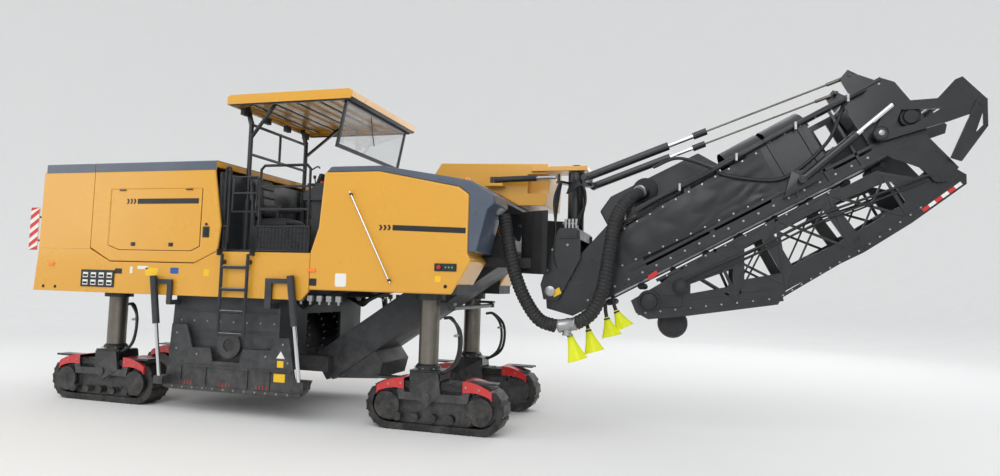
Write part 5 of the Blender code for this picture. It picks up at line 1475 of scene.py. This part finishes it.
# ---------------------------------------------------------------- conveyors
@dataclass
class Conveyors:
    """The primary conveyor, the mast, the loading conveyor with its curtains and the folded end."""
    pivot: tuple[float, float] = (1.42, 1.70)
    angle: float = 28.6
    half: float = 0.50
    top: float = 0.42
    low: float = -0.38
    end: float = 4.30

    def build(self) -> None:
        """Dresses and details each section in turn."""
        self.primary()
        self.mast()
        self.boom_frame()
        self.curtains()
        self.boom_top()
        self.fold_end()
        self.lattice()
        self.rams()
        self.hoses()
        self.sleeves()

    def at(self, along: float, up: float, y: float = 0.0) -> np.ndarray:
        """Gives a place by its distance along the loading conveyor and square to it, from the lift pivot."""
        a = math.radians(self.angle)
        return np.array([self.pivot[0] + along * math.cos(a) - up * math.sin(a), y,
                         self.pivot[1] + along * math.sin(a) + up * math.cos(a)])

    def flat(self, places: Outline) -> list[tuple[float, float]]:
        """Gives an outline in X and Z from places along and square to the loading conveyor."""
        return [(float(p[0]), float(p[2])) for p in (self.at(s, n) for s, n in places)]

    def primary(self) -> None:
        """Dresses the primary conveyor, the rubber skirt of the transfer hopper, the main frame and the
        engine block.
        """
        soften("primary_conveyor", "chassis", CHASSIS, 0.006)
        dress("transfer_hopper", RUBBER)
        dress("main_frame", CHASSIS)
        dress("engine_block", CASTING)

    def mast(self) -> None:
        """Dresses the mast and adds its bolts and the fittings beside it."""
        soften("slew_mast", "slew_frame", BLACK_ENAMEL, 0.005)
        bolts = Batch("mast_bolts", "slew_frame", ZINC)
        for sign in SIDES:
            for x, z in ((1.56, 2.36), (1.44, 2.20), (1.38, 1.95), (1.42, 1.72), (1.62, 2.26)):
                bolts.bolt((x, sign * 0.555, z), (0, sign, 0), 0.013)
        bolts.emit()
        block = Batch("mast_valves", "slew_frame", ZINC, 0.003)
        for i in range(4):
            block.block((1.53 + 0.045 * i, 1.56 + 0.045 * i), (-0.30, -0.22), (2.48, 2.60))
        block.rod((1.50, -0.26, 2.54), (1.72, -0.26, 2.54), 0.018, 10)
        block.emit()
        lines = Batch("mast_hoses", "slew_frame", HOSE)
        for i in range(6):
            y = -0.13 - 0.045 * i
            x = 1.68 + 0.02 * (i % 3)
            lines.tube([(1.56, y, 3.06 - 0.03 * i), (1.65 + 0.015 * i, y - 0.04, 3.10 - 0.02 * i),
                        (1.74 + 0.01 * i, y - 0.05, 2.95),
                        (1.75 + 0.01 * i, y - 0.03, 2.78), (x + 0.02, y - 0.02, 2.62), (x, y, 2.52)],
                        0.013, 8, 6)
        for i in range(4):
            y = -0.40 - 0.035 * i
            lines.tube([(1.50, y, 3.03), (1.47 - 0.01 * i, y - 0.03, 2.80), (1.44 + 0.01 * i, y - 0.04, 2.45),
                        (1.46, y - 0.05, 2.10), (1.52 + 0.02 * i, y - 0.02, 1.85), (1.60, y, 1.75)], 0.013,
                        8, 6)
        lines.emit(60)
        plate = Batch("mast_plate", "slew_frame", YELLOW_VINYL)
        plate.slab([(1.47, 1.63), (1.56, 1.68), (1.53, 1.75), (1.44, 1.70)], (-0.5565, -0.555))
        plate.emit()

    def boom_frame(self) -> None:
        """Adds rails, ribs, bolts and rollers to the fixed section."""
        soften("conveyor_frame", "conveyor", BLACK_ENAMEL, 0.004)
        dress("conveyor_belt", RUBBER)
        ribs = Batch("boom_rails", "conveyor", BLACK_ENAMEL, 0.002)
        bolts = Batch("boom_bolts", "conveyor", ZINC)
        for sign in SIDES:
            out = (sign * self.half, sign * (self.half + 0.022))
            for s0, s1, n in ((0.30, self.end - 0.35, self.low + 0.01), (2.95, self.end, self.top - 0.035),
                              (0.95, self.end - 0.30, self.low + 0.16)):
                ribs.slab(self.flat([(s0, n), (s1, n), (s1, n + 0.035), (s0, n + 0.035)]), out)
            for s in np.arange(2.95, self.end - 0.4, 0.36):
                ribs.slab(self.flat([(s, self.low + 0.04), (s + 0.03, self.low + 0.04),
                                     (s + 0.03, self.top - 0.04),
                                     (s, self.top - 0.04)]), out)
            for s in np.arange(0.35, self.end - 0.40, 0.18):
                p = self.at(s, self.low + 0.085, sign * self.half)
                bolts.bolt(p, (0, sign, 0), 0.011)
            for s in np.arange(3.0, self.end, 0.18):
                p = self.at(s, self.top - 0.06, sign * self.half)
                bolts.bolt(p, (0, sign, 0), 0.010)
            pivot = self.at(0, 0, sign * 0.566)
            bolts.lathe(pivot, pivot + [0, sign * 0.022, 0], ((0, 0.062), (0.7, 0.062), (1, 0.045)), 24)
        ribs.emit()
        bolts.emit()
        rollers = Batch("carrier_rollers", "conveyor", CASTING)
        for s in np.arange(0.55, self.end - 0.3, 0.42):
            p = self.at(s, self.low - 0.045)
            rollers.lathe(p + [0, -0.40, 0], p + [0, 0.40, 0],
                          ((0, 0.012), (0.01, 0.038), (0.48, 0.038), (0.5, 0.034), (0.52, 0.038),
                           (0.99, 0.038), (1, 0.012)), 16)
        rollers.emit()
        cleats = Batch("belt_cleats", "conveyor", RUBBER)
        for s in np.arange(0.25, self.end - 0.05, 0.22):
            for sign in SIDES:
                a, b = self.at(s, -0.02, sign * 0.40), self.at(s + 0.14, -0.02, 0.0)
                cleats.tube([a, b], 0.014, 6)
        cleats.emit()
        motor = Batch("belt_motors", "conveyor", CASTING, 0.003)
        for sign in SIDES:
            p = self.at(self.end + 0.02, -0.12, sign * self.half)
            motor.lathe(p, p + [0, sign * 0.10, 0],
                        ((0, 0.10), (0.5, 0.10), (0.55, 0.075), (0.95, 0.07), (1, 0.03)), 24)
        motor.emit()

    def curtains(self) -> None:
        """Hangs a tarpaulin over each side: y bulges by a few long folds, low = sum of sines of place and
        height.
        """
        for side, sign in (("right", -1), ("left", 1)):
            corners = np.array([self.at(0.90, 0.26), self.at(2.87, 0.335), self.at(2.85, -0.215),
                                self.at(0.84, -0.13)])
            u, v = np.meshgrid(np.linspace(0, 1, 72), np.linspace(0, 1, 36), indexing="ij")
            top = corners[0] + (corners[1] - corners[0]) * u[..., None]
            low = corners[3] + (corners[2] - corners[3]) * u[..., None]
            cloth = top + (low - top) * v[..., None]
            edge = np.clip(np.minimum.reduce([u, 1 - u, v, 1 - v]) * 9, 0, 1)
            folds = (0.007 * np.sin(7 * np.pi * u + 2.2 * v) + 0.005 * np.sin(17 * u - 6 * v)
                     + 0.004 * np.sin(23 * u * v + 2)) * edge
            bulge = 0.012 * np.sin(np.pi * u) * np.sin(np.pi * v)
            cloth[..., 1] = sign * (self.half + 0.006 + np.abs(folds) + bulge)
            batch = Batch(f"side_curtain_{side}", "conveyor", TARPAULIN)
            batch.sheet(cloth, (0, sign * 0.0025, 0))
            piece = batch.emit(70)
            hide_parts(f"side_tarp_{side}")
            eyelets = Batch(f"curtain_eyelets_{side}", "conveyor", ZINC)
            for share in np.linspace(0.03, 0.97, 12):
                for height in (0.035, 0.965):
                    p = top[0, 0] + (top[-1, 0] - top[0, 0]) * share
                    q = low[0, 0] + (low[-1, 0] - low[0, 0]) * share
                    spot = p + (q - p) * height
                    spot[1] = sign * (self.half + 0.0125)
                    eyelets.lathe(spot, spot + [0, sign * 0.004, 0],
                                  ((0, 0.011), (0.9, 0.011), (1, 0.006)), 12)
            eyelets.emit()

    def boom_top(self) -> None:
        """Adds the arched belt cover with its fan, and the slack sling along the right side."""
        soften("belt_cover", "conveyor", CHASSIS, 0.02)
        fan = Batch("dust_fan", "conveyor", CASTING, 0.004)
        p = self.at(1.55, self.top + 0.16, -0.245)
        fan.lathe(p, p + [0, -0.05, 0], ((0, 0.15), (0.6, 0.15), (1, 0.11)), 32)
        fan.emit()
        arch = Batch("belt_arches", "conveyor", CHASSIS)
        turn = np.linspace(0, np.pi, 13)
        for s0, s1 in ((2.50, 2.95), (3.00, 3.45)):
            grid = np.array([[self.at(s, self.top - 0.10 + 0.26 * math.sin(t),
                                      0.46 * math.cos(t)) for t in turn]
                             for s in (s0, s1)])
            arch.sheet(grid, (0, 0, -0.004))
        arch.emit(60)
        sling = Batch("sling_hose", "conveyor", HOSE)
        sling.tube([(2.60, -0.42, 3.20), (2.89, -0.44, 3.30), (3.25, -0.52, 3.17), (3.43, -0.54, 3.07),
                    (3.91, -0.54, 3.01),
                    (4.17, -0.54, 3.12), (4.45, -0.54, 3.40), (4.56, -0.54, 3.62), (4.66, -0.46, 3.92)],
                    0.019, 10, 8)
        for i in range(3):
            y = -0.515 - 0.03 * i
            sling.tube([self.at(1.0, 0.34 - 0.02 * i, y), self.at(1.5, 0.37, y),
                        self.at(2.2, 0.40 - 0.02 * i, y - 0.005),
                        self.at(3.0, 0.37, y), self.at(3.6, 0.40 - 0.015 * i, y), self.at(4.1, 0.36, y)],
                        0.012, 8, 6)
        sling.emit(60)
        clips = Batch("hose_saddles", "conveyor", ZINC, 0.001)
        for s in (1.2, 1.9, 2.6, 3.3, 3.9):
            p = self.at(s, 0.37, -0.50)
            clips.block((p[0] - 0.012, p[0] + 0.012), (-0.50, -0.595), (p[2] - 0.04, p[2] + 0.045))
        clips.emit()

    def fold_end(self) -> None:
        """Adds rollers, braces, bolts, the motor, the wheel and the strip of reflectors."""
        soften("folded_section", "folded_end", BLACK_ENAMEL, 0.004)
        soften("fold_arm", "fold_arm_body", BLACK_ENAMEL, 0.006)
        soften("fold_link", "fold_link_body", BLACK_ENAMEL, 0.005)
        rollers = Batch("return_rollers", "folded_end", CASTING)
        for i in range(9):
            share = i / 8
            x, z = (2.80 + 1.20 * share * 2, 1.60 + 0.22 * share * 2) if share < 0.5 else \
                (4.00 + 1.55 * (share - 0.5) * 2, 1.93 + 0.98 * (share - 0.5) * 2)
            rollers.lathe((x, -0.44, z), (x, 0.44, z),
                          ((0, 0.012), (0.01, 0.04), (0.99, 0.04), (1, 0.012)), 16)
        rollers.emit()
        ribs = Batch("folded_ribs", "folded_end", BLACK_ENAMEL, 0.002)
        bolts = Batch("folded_bolts", "folded_end", ZINC)
        edges = ((2.45, 1.47, 3.97, 1.70), (3.97, 1.70, 4.83, 2.27), (4.83, 2.27, 5.72, 2.98),
                 (2.66, 1.86, 4.60, 2.93))
        for sign in SIDES:
            out = (sign * 0.490, sign * 0.497)
            for x0, z0, x1, z1 in edges:
                length = math.hypot(x1 - x0, z1 - z0)
                nx, nz = -(z1 - z0) / length * 0.018, (x1 - x0) / length * 0.018
                ribs.slab([(x0 - nx, z0 - nz), (x1 - nx, z1 - nz), (x1 + nx, z1 + nz), (x0 + nx, z0 + nz)],
                          out)
                for share in np.linspace(0.06, 0.94, 9):
                    x, z = x0 + (x1 - x0) * share, z0 + (z1 - z0) * share
                    if math.hypot(x - 5.58, z - 3.11) > 0.40:       # the hinge's ears turn past here
                        bolts.bolt((x, sign * 0.497, z), (0, sign, 0), 0.009)
            for x0, z0, x1, z1 in ((3.30, 2.24, 3.55, 1.66), (3.95, 2.58, 4.06, 1.82),
                                   (4.48, 2.86, 4.72, 2.22),
                                   (5.02, 3.05, 5.25, 2.62), (2.95, 2.02, 3.05, 1.52)):
                ribs.slab([(x0 - 0.02, z0), (x1 - 0.02, z1), (x1 + 0.02, z1), (x0 + 0.02, z0)], out)
        ribs.emit()
        bolts.emit()
        self.drive()
        strip = Batch("reflector_base", "folded_end", WHITE_VINYL)
        red = Batch("reflector_red", "folded_end", RED_VINYL)
        for sign in SIDES:
            (x0, z0), (x1, z1) = (5.40, 2.655), (5.76, 2.945)
            for i in range(6):
                a, b = i / 6, (i + 1) / 6
                piece = red if i % 2 == 0 else strip
                piece.slab([(x0 + (x1 - x0) * a, z0 + (z1 - z0) * a),
                            (x0 + (x1 - x0) * b, z0 + (z1 - z0) * b),
                            (x0 + (x1 - x0) * b - 0.022, z0 + (z1 - z0) * b + 0.028),
                            (x0 + (x1 - x0) * a - 0.022, z0 + (z1 - z0) * a + 0.028)],
                            (sign * 0.497, sign * 0.4985))
        strip.emit()
        red.emit()

    def lattice(self) -> None:
        """Adds the angle irons that cross the folded section's bays and the troughs' carriers.
        """
        steel = Batch("folded_lattice", "folded_end", BLACK_ENAMEL, 0.0015)
        pipes = Batch("folded_pipes", "folded_end", HOSE)
        for sign in SIDES:
            y0, y1 = sorted((sign * 0.478, sign * 0.500))
            for x0, z0, x1, z1, wide in ((3.02, 1.98, 3.52, 1.68, 0.012), (3.32, 2.22, 4.02, 1.86, 0.014),
                                         (3.98, 2.56, 4.70, 2.26, 0.014), (4.50, 2.84, 5.22, 2.62, 0.014),
                                         (3.55, 1.70, 3.95, 2.54, 0.010), (4.08, 1.86, 4.48, 2.82, 0.010),
                                         (4.74, 2.26, 5.02, 3.02, 0.010), (2.80, 1.62, 3.95, 1.82, 0.016)):
                length = math.hypot(x1 - x0, z1 - z0)
                nx, nz = -(z1 - z0) / length * wide, (x1 - x0) / length * wide
                steel.slab([(x0 - nx, z0 - nz), (x1 - nx, z1 - nz), (x1 + nx, z1 + nz),
                            (x0 + nx, z0 + nz)], (y0, y1))
            pipes.tube([(5.45, sign * 0.53, 3.05), (5.0, sign * 0.535, 2.86), (4.4, sign * 0.53, 2.62),
                        (3.8, sign * 0.535, 2.28),
                        (3.3, sign * 0.53, 2.04), (2.98, sign * 0.53, 1.88)], 0.014, 8, 6)
            pipes.tube([(5.45, sign * 0.52, 3.00), (5.0, sign * 0.52, 2.80), (4.4, sign * 0.52, 2.55),
                        (3.8, sign * 0.52, 2.22),
                        (3.3, sign * 0.52, 1.98), (2.98, sign * 0.52, 1.84)], 0.011, 8, 6)
        for x, z in ((3.10, 1.56), (3.45, 1.62), (3.80, 1.67), (4.12, 1.88), (4.45, 2.06), (4.78, 2.26),
                     (5.08, 2.48), (5.38, 2.72)):
            steel.block((x - 0.02, x + 0.02), (-0.48, 0.48), (z, z + 0.03))
        steel.emit()
        pipes.emit(60)
        plate = Batch("arm_plates", "fold_arm_body", BLACK_ENAMEL, 0.003)
        studs = Batch("arm_studs", "fold_arm_body", ZINC)
        for sign in SIDES:
            x, z = 4.97, 3.48
            plate.lathe((x, sign * 0.60, z), (x, sign * 0.665, z), ((0, 0.075), (0.7, 0.075), (1, 0.055)), 24)
            studs.lathe((x, sign * 0.66, z), (x, sign * 0.675, z), ((0, 0.03), (0.8, 0.03), (1, 0.02)), 16)
        plate.emit()
        studs.emit()

    def drive(self) -> None:
        """Adds the head drum's motor and bearing, the guide wheel's rubber and the red clip."""
        cast = Batch("head_drive", "folded_end", CASTING, 0.003)
        for sign in SIDES:
            cast.lathe((2.58, sign * 0.49, 1.62), (2.58, sign * 0.60, 1.62),
                       ((0, 0.13), (0.35, 0.13), (0.4, 0.10), (0.8, 0.09), (1, 0.04)), 28)
            cast.block((2.50, 2.95), (sign * 0.490, sign * 0.512), (1.56, 1.69))
            cast.lathe((2.93, sign * 0.49, 1.80), (2.93, sign * 0.58, 1.80),
                       ((0, 0.09), (0.6, 0.09), (0.9, 0.06), (1, 0.02)), 24)
        cast.emit()
        tyre = Batch("guide_wheel_tyre", "folded_end", RUBBER)
        tyre.lathe((2.84, -0.345, 1.37), (2.84, -0.215, 1.37),
                   ((0, 0.10), (0.02, 0.150), (0.12, 0.172), (0.88, 0.172), (0.98, 0.150), (1, 0.10)), 36)
        tyre.emit()
        hub = Batch("guide_wheel_hub", "folded_end", CASTING)
        hub.lathe((2.84, -0.352, 1.37), (2.84, -0.208, 1.37),
                  ((0, 0.03), (0.05, 0.095), (0.95, 0.095), (1, 0.03)), 28)
        hub.emit()
        clip = Batch("red_clip", "folded_end", GUARD_RED, 0.003)
        clip.slab([(2.58, 1.86), (2.68, 1.93), (2.66, 1.98), (2.56, 1.91)], (-0.535, -0.49))
        clip.emit()

    def rams(self) -> None:
        """Dresses the rams: black barrels, chrome rods and their eyes."""
        for side in ("right", "left"):
            soften(f"lift_barrel_{side}", f"lift_barrel_{side}_body", BLACK_ENAMEL, 0.004)
            soften(f"fold_barrel_{side}", f"fold_barrel_{side}_body", BLACK_ENAMEL, 0.004)
            dress(f"fold_rod_{side}", CHROME)
            dress(f"lift_rod_{side}", CHROME, (GROUND_STEEL, lambda spots: spots[:, 0] > 3.10),
                  (BLACK_ENAMEL, lambda spots: (spots[:, 0] > 3.02) & (spots[:, 0] < 3.28)))
        soften("slew_barrel", "slew_barrel_body", BLACK_ENAMEL, 0.004)
        dress("slew_rod", CHROME)

    def hose_path(self, points: Sequence[Point]) -> np.ndarray:
        """Gives a smooth route with a place every 5.5 mm.

        Args:
            points: places along the route.

        Returns:
            The places, one a row.
        """
        line = smooth_path(points, 12)
        step = np.linalg.norm(np.diff(line, axis=0), axis=1)
        run = np.concatenate([[0], np.cumsum(step)])
        marks = np.arange(0, run[-1], 0.0055)
        return np.stack([np.interp(marks, run, line[:, i]) for i in range(3)], -1)

    def hoses(self) -> None:
        """Winds the two ribbed suction hoses: radius = 72 mm plus 9 mm times the square root of a cosine's
        rise, a rib each 44 mm.
        """
        rear = [(0.8702, -0.72, 2.60), (0.90, -0.73, 2.45), (0.96, -0.77, 2.20), (1.05, -0.80, 1.88),
                (1.18, -0.80, 1.59),
                (1.35, -0.80, 1.37), (1.555, -0.80, 1.30)]
        front = [(1.78, -0.80, 1.34), (1.95, -0.80, 1.46), (2.06, -0.79, 1.68), (2.11, -0.77, 1.92),
                 (2.15, -0.74, 2.22),
                 (2.20, -0.68, 2.55), (2.33, -0.545, 2.80), (2.50, -0.2845, 2.93)]
        for name, points, node, bodies, ends in (
                ("suction_hose_back", rear, "suction_hose_rear", ("chassis", "slew_frame"),
                 ((0.90, -0.73, 2.45), (1.55, -0.80, 1.30))),
                ("suction_hose_fore", front, "suction_hose_front", ("slew_frame", "conveyor"),
                 ((1.95, -0.80, 1.46), (2.40, -0.45, 2.86)))):
            path = self.hose_path(points)
            run = np.arange(len(path)) * 0.0055
            size = 0.072 + 0.009 * np.sqrt(0.5 + 0.5 * np.cos(2 * np.pi * run / 0.044))
            batch = Batch(name, bodies[0], RUBBER)
            batch.tube(path, size, 20)
            obj = batch.emit(50)
            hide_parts(node)
            obj.parent = None
            del obj["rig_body"]
            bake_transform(obj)
        tee = Batch("hose_tee", "slew_frame", ZINC, 0.002)
        tee.lathe((1.57, -0.80, 1.302), (1.79, -0.80, 1.343),
                  ((0, 0.070), (0.08, 0.082), (0.16, 0.074), (0.84, 0.074), (0.92, 0.082), (1, 0.070)), 28)
        tee.lathe((1.68, -0.80, 1.30), (1.68, -0.80, 1.20),
                  ((0, 0.05), (0.7, 0.05), (0.75, 0.056), (1, 0.056)), 20)
        tee.emit()
        clamps = Batch("hose_clamps", "conveyor", ZINC)
        clamps.lathe((2.44, -0.40, 2.905), (2.455, -0.37, 2.915),
                     ((0, 0.082), (0.1, 0.086), (0.9, 0.086), (1, 0.082)), 28)
        clamps.emit()
        saddle = Batch("hose_bracket", "conveyor", BLACK_ENAMEL, 0.002)
        saddle.block((2.36, 2.40), (-0.52, -0.40), (2.62, 2.86))
        saddle.emit()

    def sleeves(self) -> None:
        """Ties four bright sleeves round the hoses' low ends: a cone whose rim waves, radius grows along
        it.
        """
        pairs = ((("yellow_sleeves_low", "slew_frame"), (((1.70, -0.76, 1.22), (1.80, -0.76, 0.92)),
                                                         ((1.90, -0.66, 1.28), (1.98, -0.66, 1.02)))),
                 (("yellow_sleeves_high", "conveyor"), (((2.10, -0.56, 1.42), (2.16, -0.56, 1.20)),
                                                        ((2.20, -0.50, 1.50), (2.30, -0.50, 1.30)))))
        for (name, body), places in pairs:
            cloth = Batch(name, body, SLEEVE)
            ties = Batch(name.replace("yellow_sleeves", "sleeve_ties"), body, HOSE)
            for number, (top, low) in enumerate(places):
                self.sleeve(cloth, ties, np.array(top), np.array(low), number)
            cloth.emit(70)
            ties.emit()

    def sleeve(self, cloth: Batch, ties: Batch, a: np.ndarray, b: np.ndarray, number: int) -> None:
        """Adds one sleeve and the cord round its neck.

        Args:
            cloth: takes the sleeve.
            ties: takes the cord.
            a: the neck.
            b: the middle of the rim.
            number: which sleeve, so that each rim waves in its own way.
        """
        s, t = np.meshgrid(np.linspace(0, 1, 14), np.linspace(0, 2 * np.pi, 33), indexing="ij")
        direction = (b - a) / np.linalg.norm(b - a)
        across = np.cross(direction, [0, 1, 0])
        wide = 0.028 + 0.085 * s ** 1.2 + 0.012 * s ** 2 * np.cos(5 * t + number)
        cloth.sheet(a + (b - a) * s[..., None] + (wide * np.cos(t))[..., None] * across
                    + (0.75 * wide * np.sin(t))[..., None] * np.array([0, 1, 0]), (0.0015, 0.0015, 0))
        ties.lathe(a + direction * 0.012, a + direction * 0.030, ((0, 0.033), (0.5, 0.037), (1, 0.036)), 16)
        ties.tube([a + direction * 0.01, a - direction * 0.06 + [0, 0.02, 0.02],
                   a - direction * 0.12 + [0.01, 0.05, 0.06]],
                  0.022, 10, 4)


PARTS = (Hull(), Undercarriage(), MillingUnit(), OperatorPlace(), Conveyors())


# ---------------------------------------------------------------- studio
@dataclass
class Studio:
    """The pale floor, the soft lights and the camera."""
    eye: Point = (3.0255, -8.4393, 1.7567)          # from the front steering axis
    yaw: float = 15.917
    pitch: float = 4.032
    roll: float = 1.674
    lens_mm: float = 24.0

    def build(self) -> None:
        """Sets up floor, lights, sky and camera."""
        self.floor()
        self.lights()
        self.camera()

    def floor(self) -> None:
        """Lays a wide pale floor that turns up far away: z = 0.075 (distance - 16)^2 past 16 m."""
        reach = np.linspace(-60, 60, 121)
        x, y = np.meshgrid(reach, reach)
        past = np.clip(np.hypot(x, y) - 16.0, 0, 20.0)
        points = np.stack([x, y, past ** 2 * 0.075], -1).reshape(-1, 3)
        mesh = bpy.data.meshes.new("studio_floor")
        mesh.from_pydata(points.tolist(), [], grid_faces(121, 121))
        mat = bpy.data.materials.new("pale_studio_floor")
        mat.use_nodes = True
        shader = mat.node_tree.nodes["Principled BSDF"]
        shader.inputs["Base Color"].default_value = linear("#F4F4F3")
        shader.inputs["Roughness"].default_value = 0.9
        shader.inputs["Specular IOR Level"].default_value = 0.1
        mesh.materials.append(mat)
        obj = bpy.data.objects.new("studio_floor", mesh)
        bpy.context.scene.collection.objects.link(obj)

    def lights(self) -> None:
        """Hangs a broad key light on the camera's side, a fill and a rim light, under a bright even sky."""
        for name, place, size, power in (("key", (2.0, -14.0, 11.0), 12.0, 1000),
                                         ("fill", (-14.0, -6.0, 7.0), 10.0, 350),
                                         ("rim", (6.0, 12.0, 10.0), 10.0, 500)):
            lamp = bpy.data.lights.new(name, "AREA")
            lamp.size, lamp.energy = size, power
            obj = bpy.data.objects.new(name, lamp)
            obj.location = place
            obj.rotation_euler = (Vector((0, 0, 1.5)) - Vector(place)).to_track_quat("-Z", "Y").to_euler()
            bpy.context.scene.collection.objects.link(obj)
        world = bpy.data.worlds.new("even_sky")
        world.use_nodes = True
        sky = world.node_tree.nodes["Background"]
        sky.inputs["Color"].default_value = linear("#F6F8FB")
        sky.inputs["Strength"].default_value = 0.80
        bpy.context.scene.world = world
        bpy.context.scene.view_settings.view_transform = "Standard"

    def camera(self) -> None:
        """Stands the camera to the machine's right and front, level with its hull."""
        yaw, pitch, roll = (math.radians(a) for a in (self.yaw, self.pitch, self.roll))
        ahead = Vector((-math.sin(yaw) * math.cos(pitch), math.cos(yaw) * math.cos(pitch), math.sin(pitch)))
        right = Vector((math.cos(yaw), math.sin(yaw), 0))
        up = right.cross(ahead)
        right, up = (math.cos(roll) * right + math.sin(roll) * up,
                     -math.sin(roll) * right + math.cos(roll) * up)
        lens = bpy.data.cameras.new("camera")
        lens.lens, lens.sensor_width, lens.clip_end = self.lens_mm, 36.0, 300.0
        obj = bpy.data.objects.new("camera", lens)
        obj.matrix_world = Matrix((right, up, -ahead)).transposed().to_4x4()
        obj.location = Vector(self.eye) + Vector(DATUM)
        bpy.context.scene.collection.objects.link(obj)
        bpy.context.scene.camera = obj


def main() -> None:
    """Builds the machine's pieces in order, then the studio."""
    logging.basicConfig(level=logging.INFO, format="%(message)s")
    for part in PARTS:
        log.info("building %s", type(part).__name__)
        part.build()
    Studio().build()


if __name__ == "__main__":
    main()
